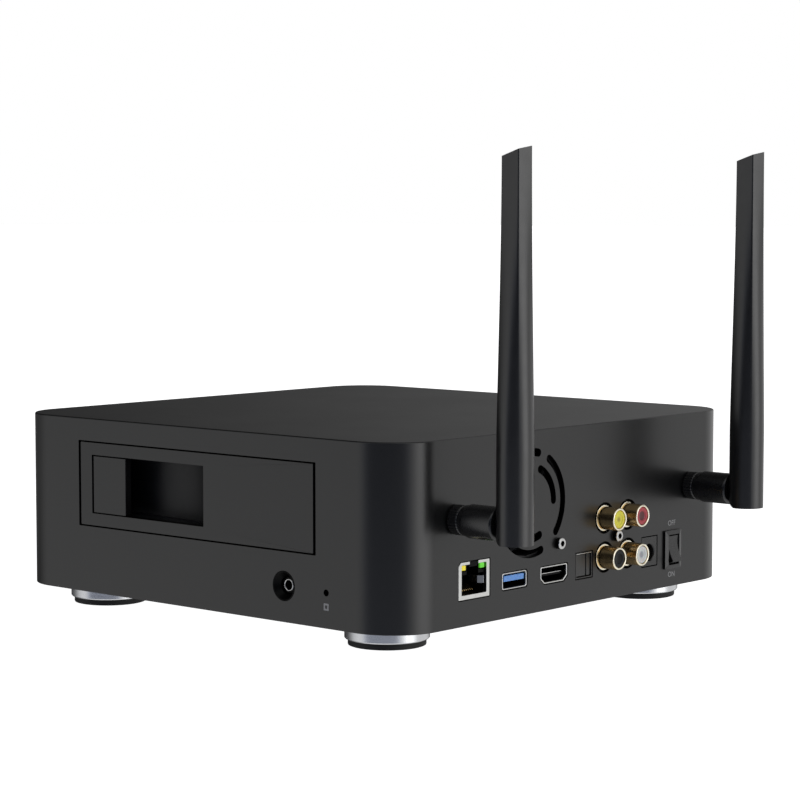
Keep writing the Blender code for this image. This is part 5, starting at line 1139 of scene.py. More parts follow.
def lan_body():
    body = prism(lan_outline(LAN_SHEET + FIT), lan_back, insert_front)
    depth = (insert_front - PLUG_DEPTH, insert_front + THROUGH)
    plug_top = lan_floor + PLUG_HEIGHT
    plug = (lan_x - PLUG_WIDTH / 2, lan_floor, lan_x + PLUG_WIDTH / 2, plug_top)
    latch = (lan_x - LATCH_WIDTH / 2, plug_top - 1, lan_x + LATCH_WIDTH / 2, lan_top - 1.4)
    tools = [weld(block(plug, *depth), block(latch, *depth))]
    for node in LAN_LEDS:
        left, low, right, top = on_rear_panel(node, FIT)
        tools.append(block((left, low, right, top + 3), depths(node)[0] - FIT, depth[1]))
    half = LAN_NOTCH / 2 - 0.15
    boss = (lan_x - half, lan_top - 1.9, lan_x + half, lan_top - 0.12)
    return weld(carve(body, tools), block(boss, insert_front - 1.0, insert_front + 0.35))


make("lan_body", lan_body(), "black_moulding", BLACK_AND_PAINTED_SHADE, "lan_insert", 0.1)

# %% Contacts and spring tabs
CONTACTS = 8
CONTACT_PITCH = 1.02
WIRE_WIDTH, WIRE_THICKNESS = 0.52, 0.25
TAB_LOW, TAB_HIGH = 4.6, 7.2
TAB_THICKNESS = 0.22


def lan_contacts():
    """Wires that rise from the mouth's floor towards the back of the plug's room."""
    path = [(-5.5, 0.3), (-3.6, 0.5), (-3.1, 1.0), (-3.6, 1.5), (-9.0, 3.9)]
    path = [(insert_front + out, lan_floor + up) for out, up in path]
    path += [(out, up - WIRE_THICKNESS) for out, up in reversed(path)]
    wires = []
    for index in range(CONTACTS):
        x = lan_x + (index - (CONTACTS - 1) / 2) * CONTACT_PITCH
        wires.append(sideways(path, x - WIRE_WIDTH / 2, x + WIRE_WIDTH / 2))
    return merged(wires)


def lan_tab(side):
    """A sprung tongue of the shield, bent inwards through the mouth's side."""
    edge = lan_x + side * (PLUG_WIDTH / 2 + 0.05)
    front = lan_front - LAN_SHEET - 0.2
    path = [(front, 0.0), (front - 1.6, 1.5), (front - 4.6, 0.5), (front - 6.5, 0.1)]
    outline = [(out, edge - side * lift) for out, lift in path]
    outline += [(out, across - side * TAB_THICKNESS) for out, across in reversed(outline)]
    rings = []
    for up in (lan_low + TAB_LOW, lan_low + TAB_HIGH):
        rings.append([on_rear(across, up, out) for out, across in outline])
    return skin(rings)


make("lan_contacts", lan_contacts(), "gold_plate", GOLD, edge=0.04)
make("lan_tabs", merged([lan_tab(-1), lan_tab(1)]), "nickel", ZINC_SHEET, edge=0.05)

# %% Light pipes of the network socket
PIPE_INSET = 0.2
PIPE_LOOKS = ((AMBER_LIGHT, "amber_light"), (GREEN_LIGHT, "green_light"))
for node, (finish, slot) in zip(LAN_LEDS, PIPE_LOOKS):
    outline = eased(rectangle(on_rear_panel(node, -PIPE_INSET)), 0.25, 4)
    pipe = prism(outline, depths(node)[0], lan_front - LAN_SHEET - 0.05)
    make(node + "_pipe", pipe, slot, finish, node, 0.15)

# %% [markdown]
# ## Data and video sockets
#
# Both are drawn steel tubes with a plastic tongue inside. The tube's lip is rolled over,
# and this thin bright line is most of what shows. A closed section round the outline makes
# outside, lip and inside in one go.

# %% Rolled tubes
SHEET = 0.5
LIP_TURNS = (0.52, 1.05, 1.57)


def tube_section(node):
    back, front = depths(node)
    lip = SHEET / 2
    start = front - lip
    section = [(0, back), (0, start)]
    for turn in LIP_TURNS:
        section.append((lip - lip * math.cos(turn), start + lip * math.sin(turn)))
    for turn in LIP_TURNS[:2]:
        section.append((lip + lip * math.sin(turn), start + lip * math.cos(turn)))
    return section + [(SHEET, start), (SHEET, back)]


usb_tube = shell(usb_outline, tube_section("usb_shell"))
hdmi_tube = shell(hdmi_outline, tube_section("hdmi_shell"))
make("usb_tube", usb_tube, "nickel", SCREW_METAL, "usb_shell")
make("hdmi_tube", hdmi_tube, "nickel", TINNED, "hdmi_shell")

# %% Painted shade inside the tubes
LINING = 0.08
LINING_START = 0.7


def shade_lining(outline, node):
    """A black sheet inside a tube, which paints the shade in its depth."""
    back, front = depths(node)
    back, front = back + THROUGH, front - LINING_START
    outer, inner = SHEET + 0.02, SHEET + LINING
    return shell(outline, [(outer, back), (outer, front), (inner, front), (inner, back)])


# The linings are black sheets that paint the shade deep inside the tubes.
make("usb_lining", shade_lining(usb_outline, "usb_shell"), "black_moulding", BLACK_AND_PAINTED_SHADE)
make("hdmi_lining", shade_lining(hdmi_outline, "hdmi_shell"), "black_moulding", BLACK_AND_PAINTED_SHADE)

# %% Tongue of the data socket
USB_TONGUE = (11.1, 2.0)
USB_DROP = 0.3
usb_left, _, usb_right, usb_top = on_rear_panel("usb_tongue")
usb_centre = ((usb_left + usb_right) / 2, usb_top - USB_DROP - USB_TONGUE[1] / 2)
usb_back = depths("usb_tongue")[0]
usb_plate = block(about(usb_centre, *USB_TONGUE), usb_back, depths("usb_shell")[1] - 0.35, 0.2)
make("usb_plate", usb_plate, "blue_plastic", BLUE, "usb_tongue", 0.12)
usb_floor = prism(usb_outline(SHEET + 0.1), usb_back, usb_back + 4)
make("usb_back_wall", usb_floor, "black_moulding", BLACK_AND_PAINTED_SHADE, edge=0.1)

# %% Tongue of the video socket
HDMI_TONGUE = (10.8, 0.8)
HDMI_DROP = 2.35
hdmi_back, hdmi_front = depths("hdmi_tongue")
hdmi_top = on_rear_panel("hdmi_shell")[3] - SHEET
hdmi_centre = (middle("hdmi_shell").x, hdmi_top - HDMI_DROP - HDMI_TONGUE[1] / 2)
plate = about(hdmi_centre, *HDMI_TONGUE)
hdmi_wall = prism(hdmi_outline(SHEET + 0.1), hdmi_back, hdmi_back + 3.4)
hdmi_tongue = weld(hdmi_wall, block(plate, hdmi_back + 3, hdmi_front))
make("hdmi_plate", hdmi_tongue, "black_moulding", BLACK_AND_PAINTED_SHADE, "hdmi_tongue", 0.08)
strip = (plate[0] - 0.4, plate[3] - 0.05, plate[2] - 0.2, plate[3] + 0.2)
hdmi_strip = block(strip, hdmi_front - 0.6, hdmi_front - 0.1)
make("hdmi_contact_strip", hdmi_strip, "nickel", TINNED, edge=0.05)

# %% [markdown]
# ## Optical socket
#
# A square moulding closed by a small sprung shutter. The steel rod that the shutter hangs
# on runs across the top of the mouth and catches the light. The moulding is flush with the
# panel and a little paler than it, partly as painted light for its shaded recess. A bright
# metal strip along the top edge of the mouth is a painted highlight.

# %% Housing
OPTICAL_RIM = 0.45
OPTICAL_DEPTH = 9.5
optical_back, optical_front = depths("optical_housing")
optical_mouth = on_rear_panel("optical_housing", -OPTICAL_RIM)
housing = block(on_rear_panel("optical_housing"), optical_back, optical_front, 0.2)
room = block(optical_mouth, optical_front - OPTICAL_DEPTH, optical_front + THROUGH, 0.3)
optical_body = carve(housing, [room])
make("optical_body", optical_body, "black_moulding", SHUTTER_GREY, "optical_housing", 0.12)

# %% Shutter
ROD_RADIUS = 0.5
shutter_low, shutter_high = span("optical_shutter")
rod_up = shutter_high.z - ROD_RADIUS
rod_out = sum(depths("optical_shutter")) / 2


def optical_flap():
    """The shutter: a thick plate with a groove down one side, hung from its rod."""
    left, low, right, _ = optical_mouth
    left, low, right, top = left + FIT, low + FIT, right - FIT, rod_up + 1.2
    face = optical_front - 0.5
    plate = block((left, low, right, top), rod_out - 0.35, face, 0.2)
    groove = (left + 2.1, low - THROUGH, left + 2.7, top + THROUGH)
    return carve(plate, [block(groove, face - 0.7, face + THROUGH)])


def optical_rod():
    outline = circle(ROD_RADIUS, 20, (rod_out, rod_up))
    return sideways(outline, shutter_low.x + 0.7, shutter_high.x - 0.7)


hung = "optical_shutter"
make("optical_flap", optical_flap(), "black_moulding", SHUTTER_GREY, hung, 0.1, hung)
make("optical_rod", optical_rod(), "nickel", TINNED, body=hung)
# A bright metal strip along the top of the mouth paints the highlight on the housing's edge.
left, _, right, top = optical_mouth
lip = (left + 0.05, top - 0.02, right - 0.05, top + 0.2)
optical_lip = block(lip, optical_front - 0.6, optical_front + 0.03)
make("optical_lip", optical_lip, "nickel", SCREW_METAL, edge=0.04)

# %% [markdown]
# ## Phono sockets
#
# Four gilded barrels stand out of one moulded block. Each has a flat flange in its hole, a
# rolled mouth, and a coloured insert that is nearly flat. Barrel and insert are turned
# about the same axis.

# %% Barrels and inserts
RCA_REACH = 7.0
RCA_ROOT = -6
BARREL, BORE, COLLAR = 4.1, 3.3, 4.8
MOUTH_TURNS = (0.5, 1.05, 1.57, 2.1, 2.64)


def rca_barrel(place):
    lip = (BARREL - BORE) / 2
    start = RCA_REACH - lip
    profile = [(BORE, RCA_ROOT), (BARREL, RCA_ROOT), (BARREL, -3.8), (COLLAR, -3.8)]
    profile += [(COLLAR, -0.3), (COLLAR - 0.08, -0.16), (COLLAR - 0.22, -0.1)]
    profile += [(BARREL + 0.12, -0.1), (BARREL, start)]
    for turn in MOUTH_TURNS:
        profile.append((BORE + lip + lip * math.cos(turn), start + lip * math.sin(turn)))
    return turned(profile + [(BORE, start)], place, closed=True)


def rca_insert(place):
    tip = RCA_REACH - 0.35
    edge = BORE - 0.08
    profile = [(edge, RCA_ROOT), (edge, tip - 0.2), (edge - 0.2, tip), (2.1, tip)]
    profile += [(1.95, tip - 0.1), (1.85, tip - 0.22), (1.7, tip - 0.28), (0.1, tip - 0.34)]
    return turned(profile, place)


INSERT_LOOKS = (
    (YELLOW, "yellow_plastic"),
    (RED, "red_plastic"),
    (BLACK_INSERT, "black_moulding"),
    (WHITE, "white_plastic"),
)
# The barrels' ends take the pale gold as a painted highlight and their sides the plain gold, and
# each insert's colour carries a painted shade in its hole.
for name, (finish, slot) in zip(RCA_NAMES, INSERT_LOOKS):
    node = "rca_barrel_" + name
    place = rear_spot(node)
    make("phono_barrel_" + name, rca_barrel(place), "gold_plate", GOLD_PAINTED_HIGHLIGHT, node, flanks=GOLD)
    make("phono_insert_" + name, rca_insert(place), slot, finish, "rca_insert_" + name)

# %% [markdown]
# ## Power socket
#
# A square moulding, flush in the panel, with a round mouth and a centre pin. The mouth has
# a small chamfer that guides the plug in.

# %% Power socket
DC_BORE = 3.1
dc_place = rear_spot("dc_pin")
dc_back, dc_front = depths("dc_jack")
bore = [(DC_BORE, dc_front - 9.5), (DC_BORE, dc_front - 0.35)]
bore.append((DC_BORE + 0.35 + THROUGH, dc_front + THROUGH))
dc_block = block(on_rear_panel("dc_jack"), dc_back, dc_front, 0.25)
dc_body = carve(dc_block, [turned(bore, dc_place)])
make("power_socket", dc_body, "black_moulding", PORT_FACE, "dc_jack", 0.15)
back, front = depths("dc_pin")
pin_profile = [(1.0, back), (1.0, front - 0.4), (0.75, front - 0.08), (0.5, front)]
make("power_pin", turned(pin_profile, dc_place, count=24), "nickel", TINNED, "dc_pin")

# %% [markdown]
# ## Rocker switch
#
# The bezel is a low frame with sloping sides that lies on the panel, and the dished rocker
# tilts in it. The bezel is rings that shrink as they rise, with the well cut out. The
# rocker's side view is its outline. It is drawn level and then tilted to its off position.

# %% Bezel
BEZEL_PROUD = 1.25
WELL_DEPTH = 7.8
ROCKER_WIDTH = 5.8
ROCKER_REACH = 5.4
bezel = on_rear_panel("switch_bezel")
bezel_x, bezel_z = rear_spot("switch_bezel")


def switch_bezel():
    back = depths("switch_bezel")[0]
    levels = [(0.9, back), (0.9, 0.05), (0, 0.05), (0, BEZEL_PROUD - 0.45), (1.5, BEZEL_PROUD)]
    rings = [lay(eased(rectangle(bezel, inset), 0.35, 3), out, on_rear) for inset, out in levels]
    well = about((bezel_x, bezel_z), ROCKER_WIDTH + 2 * FIT, 2 * (ROCKER_REACH + FIT))
    return carve(skin(rings), [block(well, -WELL_DEPTH, BEZEL_PROUD + THROUGH)])


def is_frame_side(face):
    """True for the frame's outer sides, but not for the walls of its well."""
    away = abs(face.calc_center_median().x - bezel_x)
    return is_rear_flank(face) and away > ROCKER_WIDTH / 2 + 1


# The frame's outer sides are black as painted shade.
looks = {"flanks": BLACK_AND_PAINTED_SHADE, "is_flank": is_frame_side}
make("switch_frame", switch_bezel(), "black_moulding", PORT_FACE, "switch_bezel", 0.12, **looks)

# %% Rocker
ROCKER_PROUD = 2.6
ROCKER_DISH = 0.9
ROCKER_TILT = 12
PIVOT_DEPTH = 0.6
DISH_STEPS = 16


def switch_rocker():
    foot = math.asin(ROCKER_PROUD / ROCKER_REACH)
    half_span = ROCKER_REACH * math.cos(foot)
    outline = []
    for step in range(2 * DISH_STEPS + 1):
        up = half_span * (1 - step / DISH_STEPS)
        outline.append((ROCKER_PROUD - ROCKER_DISH * (1 - (up / half_span) ** 2), up))
    foot = math.degrees(foot)
    outline += arc(ROCKER_REACH, -90 + foot, -90 - foot, 10)[1:]
    outline += arc(ROCKER_REACH, 90 + foot, 90 - foot, 10)[:-1]
    tilt = Matrix.Rotation(math.radians(ROCKER_TILT), 4, "X")
    pivot = on_rear(bezel_x, bezel_z, -PIVOT_DEPTH)
    rings = []
    for across in (-ROCKER_WIDTH / 2, ROCKER_WIDTH / 2):
        rings.append([pivot + tilt @ Vector((across, out, up)) for out, up in outline])
    return skin(rings)


rocker = switch_rocker()
# The rocker's sides take black as painted shade, and its face the grey of the frame.
make("rocker", rocker, "black_moulding", PORT_FACE, "switch_rocker", 0.15, "rocker", BLACK_AND_PAINTED_SHADE)

# %% [markdown]
# ## Panel screws, service jack and the pin-hole button
#
# The two screws are cap heads with a hex socket. Their sides and the floor of the socket
# are painted black as shade. The jack on the side shows a thin metal ring deep in a dish,
# and the dish is painted black as its shade. They are small, but bright rings on a dark
# panel are what the eye finds first.

# %% Screws
SCREW_HEAD = 2.05
SCREW_HEIGHT = 1.5
SHANK = 1.2
HEXAGON = 1.1


def screw(place):
    top = FIT + SCREW_HEIGHT
    profile = [(SHANK, -8), (SHANK, FIT), (SCREW_HEAD, FIT), (SCREW_HEAD, top - 0.3)]
    head = turned(profile + [(SCREW_HEAD - 0.3, top)], place, count=40)
    return carve(head, [prism(circle(HEXAGON, 6, place), top - 1.1, top + THROUGH)])


# Each cap's sides are black as painted shade, and a black disc at the floor of its hex socket
# paints the shade there.
for node in SCREWS:
    place = rear_spot(node)
    make(node + "_cap", screw(place), "nickel", SCREW_METAL, node, 0.08, flanks=BLACK_AND_PAINTED_SHADE)
    floor = turned([(1.22, FIT + 0.35), (1.22, FIT + 0.45)], place, count=24)
    make(node + "_socket", floor, "black_moulding", BLACK_AND_PAINTED_SHADE)

# %% Service jack
NOSE_FRONT = -2.6
NOSE_BORE = 1.75
NOSE = 2.9
cup = JACK_CUP - 0.05
cup_profile = [(cup, -CASE_WALL), (cup, -0.12), (cup - 0.12, 0), (cup - 0.35, 0)]
cup_profile += [(cup - 0.5, -0.12), (3.15, -CASE_WALL), (3.15, -CASE_WALL - 0.6)]
cup_profile.append((cup, -CASE_WALL - 0.6))
# The cup is black as painted shade in the jack's recess.
jack_cup = turned(cup_profile, JACK, on_side, closed=True)
make("jack_cup", jack_cup, "black_moulding", BLACK_AND_PAINTED_SHADE)

box_start = span("serial_jack")[0].x - SIDE
jack_box = block(on_side_wall("serial_jack"), box_start, NOSE_FRONT - 1.6, plane=on_side)
jack_bore = turned([(NOSE_BORE, NOSE_FRONT - 10), (NOSE_BORE, THROUGH)], JACK, on_side)
jack_body = carve(jack_box, [jack_bore])
make("jack_body", jack_body, "black_moulding", BLACK_AND_PAINTED_SHADE, "serial_jack", 0.1)

nose_profile = [(NOSE_BORE, NOSE_FRONT - 6), (NOSE, NOSE_FRONT - 6), (NOSE, NOSE_FRONT - 0.3)]
nose_profile += [(NOSE - 0.3, NOSE_FRONT), (NOSE_BORE, NOSE_FRONT)]
jack_nose = turned(nose_profile, JACK, on_side, closed=True)
make("jack_nose", jack_nose, "black_moulding", BLACK_AND_PAINTED_SHADE)

ring_profile = [(1.72, -0.5), (2.15, -0.5), (2.15, 0.08), (2.0, 0.2), (1.85, 0.2), (1.72, 0.08)]
ring_profile = [(radius, NOSE_FRONT + out) for radius, out in ring_profile]
jack_ring = turned(ring_profile, JACK, on_side, closed=True)
make("jack_ring", jack_ring, "nickel", SCREW_METAL)

# %% [markdown]
# ## Antennas
#
# Each antenna screws on to a bush with a ribbed nut. A collar turns on the bush, and the
# rod is hinged on the collar's tongue. The rod is round at the hinge and slowly grows four
# flat sides towards its slanted top, where one face leans. A taper of one outline can't do
# that. So a round section and a four-sided one are matched point for point, and every ring
# of the rod is a mix of the two, by its height.

# %% Nut
NUT = 5.15
NUT_BORE = 3.4
NUT_EDGE = 0.35
NUT_RIBS = 30
RIB_DEPTH = 0.16


def ribbed(radius, place):
    """A circle with fine ribs, for the grip of the nut."""
    points = []
    for index in range(4 * NUT_RIBS):
        here = radius - (RIB_DEPTH if index % 4 in (0, 3) else 0.0)
        points.append(on_circle(here, 90 * index / NUT_RIBS, place))
    return points


def antenna_nut(place, low, high):
    grip, end = ribbed(NUT, place), ribbed(NUT - NUT_EDGE, place)
    bore = circle(NUT_BORE, 4 * NUT_RIBS, place)
    section = [(end, low), (grip, low + NUT_EDGE), (grip, high - NUT_EDGE), (end, high)]
    section += [(bore, high), (bore, low)]
    return skin([lay(outline, out, on_rear) for outline, out in section], closed=True)


print("the grip of a nut has", len(ribbed(NUT, (0, 0))), "points")

# %% Collar
COLLAR_ROOT, COLLAR_RADIUS = 5.3, 5.8
TONGUE, TONGUE_RADIUS = 4.6, 3.4
HINGE_DROP = 0.8
REACH = 25.8
SHOULDER = REACH - 6.0


def antenna_collar(place, start):
    profile = [(NUT_BORE, start + 5.5), (NUT_BORE, start), (COLLAR_ROOT - 0.2, start)]
    profile += [(COLLAR_ROOT, start + 0.2), (COLLAR_ROOT, start + 1.8)]
    profile.append((COLLAR_RADIUS, start + 2.6))
    for inset, drop in ((0, 0.9), (0.12, 0.4), (0.4, 0.1), (0.8, 0)):
        profile.append((COLLAR_RADIUS - inset, SHOULDER - drop))
    x, hinge = place[0], place[1] - HINGE_DROP
    root = SHOULDER - 0.5
    tongue = [(root, hinge - TONGUE_RADIUS)] + arc(TONGUE_RADIUS, -90, 90, 20, (REACH, hinge))
    tongue += [(root, hinge + TONGUE_RADIUS)]
    return weld(turned(profile, place), sideways(tongue, x - TONGUE / 2, x + TONGUE / 2))


print(f"the hinge is {REACH} mm behind the panel")

# %% Sections of the rod
ROD = 6.35
ROD_TIP = ((-2.77, -4.0), (2.9, -4.0), (2.9, 3.3), (-2.77, 4.72))
ROD_TIP_EDGE = 0.45
CORNER_TURN = 12
SIDE_STEPS = 9


def rod_sections():
    """The rod's round section and its four-sided one, point for point."""
    box = eased(ROD_TIP, ROD_TIP_EDGE, 4)
    rounded, flat = [], []
    for index, point in enumerate(box):
        quarter, step = divmod(index, 5)
        angle = 225 + 90 * quarter + CORNER_TURN * (step - 2) / 4
        flat.append(Vector(point))
        rounded.append(Vector(on_circle(ROD, angle)))
        if step == 4:
            ahead = Vector(box[(index + 1) % len(box)])
            for part in range(1, SIDE_STEPS):
                share = part / SIDE_STEPS
                flat.append(Vector(point).lerp(ahead, share))
                rounded.append(Vector(on_circle(ROD, angle + (90 - CORNER_TURN) * share)))
    return rounded, flat


ROD_ROUND, ROD_FLAT = rod_sections()
print("a ring of the rod has", len(ROD_ROUND), "points")

# %% Rings of the rod
ROD_LENGTH = 126.0
ROD_TOP = ROD_LENGTH + ROD / 2
ROD_STRAIGHT = 23.5
ROD_DROP = 5.5
ROD_STEP = 8
FLATTENING = 1.3


def rod_ring(hinge, height):
    """One ring of the rod, at this height above its hinge."""
    share = max(0.0, (height - ROD_STRAIGHT) / (ROD_TOP - ROD_STRAIGHT))
    blend = math.sin(math.pi / 2 * share) ** FLATTENING
    ring = []
    for rounded, flat in zip(ROD_ROUND, ROD_FLAT):
        x, y = rounded.lerp(flat, blend)
        ring.append(hinge + Vector((x, y, height)))
    return ring


def rod_body(hinge):
    heights = [-ROD_DROP] + [ROD_STRAIGHT + step * ROD_STEP for step in range(13)] + [ROD_TOP]
    return skin([rod_ring(hinge, height) for height in heights])


print(f"the rod is {ROD_LENGTH} mm long above its hinge")

# %% Cuts in the rod
TIP_SLOPE, TIP_LEAN = 18, 6
HEEL = 6.0


def tipped_box(low, high, origin, slope=0, lean=0):
    """A box for cutting, turned about one of its own points."""
    turn = Matrix.Rotation(math.radians(lean), 4, "Y")
    turn = turn @ Matrix.Rotation(math.radians(slope), 4, "X")
    box = block((low[0], low[1], high[0], high[1]), low[2], high[2], plane=on_ground)
    bmesh.ops.transform(box, matrix=Matrix.Translation(origin) @ turn, verts=box.verts)
    return box


def antenna_rod(place):
    """The rod with its slanted top, its slot for the tongue, a flat and a round heel."""
    hinge = on_rear(place[0], place[1] - HINGE_DROP, REACH)
    x, y = ROD_TIP[3]
    rise = y * math.tan(math.radians(TIP_SLOPE)) - x * math.tan(math.radians(TIP_LEAN))
    top = hinge + Vector((0, 0, ROD_LENGTH - rise))
    far = 3 * ROD
    tip = tipped_box((-far, -far, 0), (far, far, far), top, TIP_SLOPE, TIP_LEAN)
    half, deep = TONGUE / 2 + FIT, TONGUE_RADIUS + 0.5
    slot = tipped_box((-half, -ROD - 1, -ROD_DROP - 1), (half, deep, deep), hinge)
    flat_top = HINGE_DROP + COLLAR_RADIUS + 0.5
    flat = tipped_box((-far, -far, -far), (far, FIT - HEEL, flat_top), hinge)
    heel = arc(HEEL - FIT, 180, 270, 20) + [(0, -far), (-far, -far), (-far, 0)]
    rings = [[hinge + Vector((across, out, up)) for out, up in heel] for across in (-far, far)]
    return carve_in_turn(rod_body(hinge), [tip, slot, flat, skin(rings)])


# %% Both antennas
for hand in HANDS:
    place = rear_spot("antenna_socket_" + hand)
    nut_node, sleeve, blade = (f"antenna_{part}_{hand}" for part in ("nut", "sleeve", "blade"))
    nut = antenna_nut(place, *depths(nut_node))
    make("antenna_grip_" + hand, nut, "gloss_moulding", COLLAR_GLOSS, nut_node)
    collar = antenna_collar(place, depths(sleeve)[0])
    base_body, blade_body = f"antenna_{hand}_base", f"antenna_{hand}_blade"
    make("antenna_collar_" + hand, collar, "gloss_moulding", COLLAR_GLOSS, sleeve, 0.15, base_body)
    rod = antenna_rod(place)
    make("antenna_rod_" + hand, rod, "antenna_skin", ANTENNA_SKIN, blade, 0.2, blade_body)

# %% [markdown]
# ## Printed marks
#
# The switch says ON and OFF, and the pin-hole has a plain square beside it. A text object
# gives the letters. Its mesh is laid on the panel as a film of a hundredth of a
# millimetre, so that it shows from any side and needs no image.

# %% Words at the switch
INK_THICKNESS = 0.01
LETTER_HEIGHT = 2.0
CAPITAL = 0.72
OFF_UP, ON_UP = 23.9, 4.5


def word(text, up):
    curve = bpy.data.curves.new(text, "FONT")
    curve.body = text
    curve.size = LETTER_HEIGHT / CAPITAL
    curve.align_x = "CENTER"
    curve.align_y = "CENTER"
    curve.extrude = INK_THICKNESS / 2
    helper = bpy.data.objects.new(text, curve)
    bpy.context.scene.collection.objects.link(helper)
    graph = bpy.context.evaluated_depsgraph_get()
    mesh = bpy.data.meshes.new_from_object(helper.evaluated_get(graph))
    bpy.data.objects.remove(helper)
    letters = bmesh.new()
    letters.from_mesh(mesh)
    for vert in letters.verts:
        across, above, out = vert.co
        vert.co = on_rear(bezel_x - across, up + above, out + 0.6 * INK_THICKNESS)
    bmesh.ops.recalc_face_normals(letters, faces=letters.faces)
    return letters


make("mark_off", word("OFF", OFF_UP), "case", INK)
make("mark_on", word("ON", ON_UP), "case", INK)

# %% Square at the pin-hole
SQUARE_UP = 7.45
SQUARE = (2.3, 2.4)
STROKE = 0.62


def square_outline(inset):
    return eased(rectangle(about((RESET[0], SQUARE_UP), *SQUARE), inset), 0.2, 2)


stroke = [(0, 0), (0, INK_THICKNESS), (STROKE, INK_THICKNESS), (STROKE, 0)]
make("mark_reset", shell(square_outline, stroke, on_side), "case", INK)

# %% [markdown]
# ## Finishes for the pieces inside
#
# The tray's carrier, the bay, the boards and the fan keep their packed shapes. Only their
# materials change. Assigning to the material slots leaves the meshes untouched.

# %% Inner pieces
MOULDED_AND_PAINTED_SHADE_INSIDE = ("tray_carrier", "fan_frame", "fan_rotor", "sata_connector", "rca_block")
# The lever pin and the antenna bushes are metal, but black moulding paints them in the shade of
# their gaps.
MOULDED_AND_PAINTED_SHADE_INSIDE += ("reset_switch", "reset_button", "lever_pin")
MOULDED_AND_PAINTED_SHADE_INSIDE += ("antenna_socket_right", "antenna_socket_left")
INNER_FINISHES = {
    BLACK_MOULDING: MOULDED_AND_PAINTED_SHADE_INSIDE,
    ZINC_SHEET: ("drive_bay", "bottom_cover"),
    BOARD: ("main_board", "sata_board"),
    CASE_METAL: ("heatsink",),
    TINNED: ("antenna_pin_right", "antenna_pin_left"),
}
for finish, names in INNER_FINISHES.items():
    for name in names:
        slots = frame["nodes"][name].data.materials
        slots.clear()
        slots.append(finish)
print("finished", sum(len(names) for names in INNER_FINISHES.values()), "inner pieces")

# %% [markdown]
# ## Studio
#
# The photograph was lit for a white page: pale all round, a narrow bright panel beyond the
# rear corner, and two dark parts. One draws the dark bluish stripe down the near corner,
# and the other keeps the roof dark. Area lamps could stand for each of these. A sky built
# from a few soft lobes is smoother, has no edges in reflections and needs no aiming. The
# floor is a faintly glowing white sheet, so that it stays white under the case as well.
# Reflections don't see it: for them the lower half of the sky stands in for the floor.


# %% Lobes of the sky
def towards(azimuth, elevation):
    """How far a ray looks towards this direction, from -1 to 1. Azimuth 0 is +X, 90 is +Y."""
    turn, rise = math.radians(azimuth), math.radians(elevation)
    flat = math.cos(rise)
    return sky.dot(direction, (flat * math.cos(turn), flat * math.sin(turn), math.sin(rise)))


def lobe(azimuth, elevation, outer, inner):
    """1 within the inner angle of a direction, 0 beyond the outer one, in degrees."""
    limits = (math.cos(math.radians(angle)) for angle in (outer, inner))
    return towards(azimuth, elevation).eased_between(*limits)


world = bpy.data.worlds.new("studio")
bpy.context.scene.world = world
world.use_nodes = True
sky = Graph(world.node_tree)
direction = sky.add("ShaderNodeTexCoord", output=0)
dark_side = lobe(27, -4, 56, 36)
panel = lobe(106, 0, 25, 6)
dim_above = lobe(254, 40, 78, 34)
rear_dim = lobe(150, 0, 60, 20)
far_glow = lobe(190, 15, 42, 10)
under = towards(0, -90).eased_between(0.125, 0.155) * lobe(236, -10, 66, 26)
at_floor = towards(0, -90).eased_between(0.165, 0.178)
print("seven soft parts of the sky")

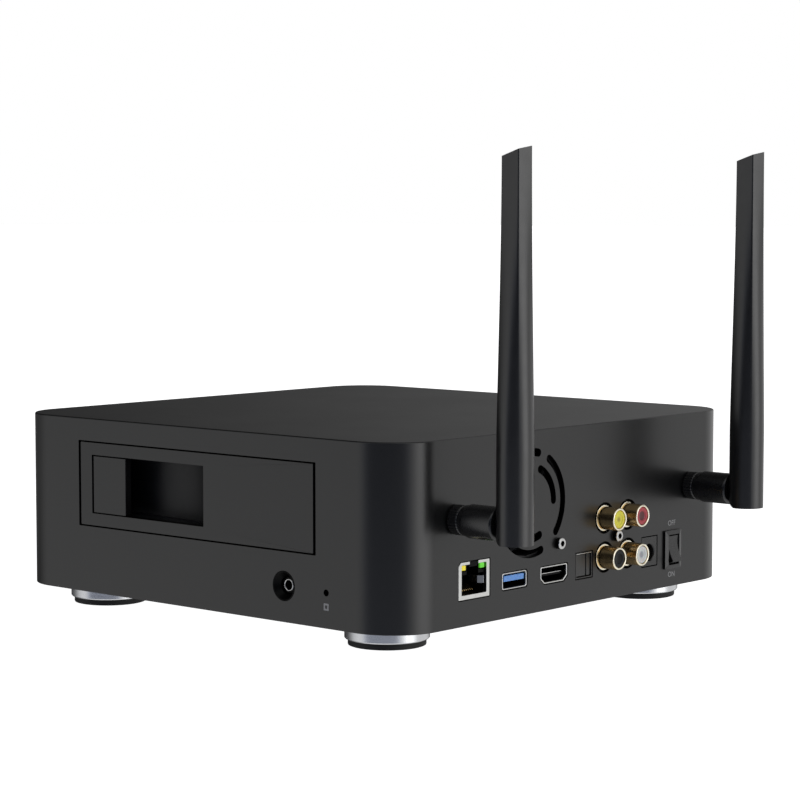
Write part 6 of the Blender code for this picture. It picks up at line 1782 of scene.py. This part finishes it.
# %% The sky's brightness
WALLS = 0.88
DARK_TINT = (0.75, 0.88, 1.25)
background = sky.tree.nodes["Background"]
dark_side = dark_side * (1.0 - 0.62 * at_floor)
panel = panel * (1.0 - 0.7 * at_floor)
walls = WALLS * (1.0 - 0.93 * dark_side) * (1.0 - 0.955 * dim_above) * (1.0 - 0.12 * rear_dim)
walls = (walls + 1.75 * panel + 0.12 * far_glow) * (1.0 - 0.92 * under)
grey = sky.add("ShaderNodeCombineXYZ", {}, {0: walls, 1: walls, 2: walls})
light = sky.vector("MULTIPLY", sky.mix(dark_side, (1.0, 1.0, 1.0), DARK_TINT), grey)
seen = sky.add("ShaderNodeLightPath", output=0)
sky.feed(background.inputs["Color"], sky.mix(seen, light, (1, 1, 1)))
sky.feed(background.inputs["Strength"], 1.0)
print("sky:", len(world.node_tree.nodes), "nodes")

# %% Floor
FLOOR_HALF = 12.0
FLOOR_GLOW = 0.93


def floor_finish():
    paper = Finish("floor_paper", (0.85, 0.85, 0.85), 0.9, Emission_Strength=FLOOR_GLOW)
    fibre = paper.noise(paper.place(), 0.02, 2.0)
    paper["Base Color"] = paper.mix(fibre, (0.84, 0.84, 0.84), (0.86, 0.86, 0.86))
    paper["Emission Color"] = (1, 1, 1, 1)
    return paper.material


floor_mesh = bpy.data.meshes.new("floor")
floor_limits = (-FLOOR_HALF, -FLOOR_HALF, FLOOR_HALF, FLOOR_HALF)
floor_corners = [(x, y, 0) for x, y in rectangle(floor_limits)]
floor_mesh.from_pydata(floor_corners, [], [(0, 1, 2, 3)])
floor_mesh.materials.append(floor_finish())
floor = bpy.data.objects.new("floor", floor_mesh)
bpy.context.scene.collection.objects.link(floor)
floor.visible_glossy = False
floor.visible_diffuse = False
print("floor", 2 * FLOOR_HALF, "m square")

# %% [markdown]
# ## Camera
#
# The photograph is taken from behind the near corner, a little above the roof. Its place
# was worked out from the case's corners in the picture: about 0.95 m away, which matches a
# lens of about 112 mm on a 36 mm wide sensor.

# %% Camera
CAMERA_PLACE = Vector((703.1, 635.7, 144.0))
CAMERA_HEADING = 221.58
CAMERA_PITCH = -4.554
CAMERA_LENS = 111.72
SENSOR_WIDTH = 36.0
camera_data = bpy.data.cameras.new("camera")
camera_data.lens = CAMERA_LENS
camera_data.sensor_width = SENSOR_WIDTH
camera_data.clip_start = 0.01
camera_data.clip_end = 100.0
camera = bpy.data.objects.new("camera", camera_data)
bpy.context.scene.collection.objects.link(camera)
camera.location = TO_WORLD @ CAMERA_PLACE
camera.rotation_euler = (math.radians(90 + CAMERA_PITCH), 0, math.radians(CAMERA_HEADING - 90))
bpy.context.scene.camera = camera
bpy.context.scene.view_settings.view_transform = "Standard"
print("camera at", tuple(round(value, 3) for value in camera.location))

# %% [markdown]
# ## The box of the dressed object
#
# The dressed object must fill the same box as the mechanical one.
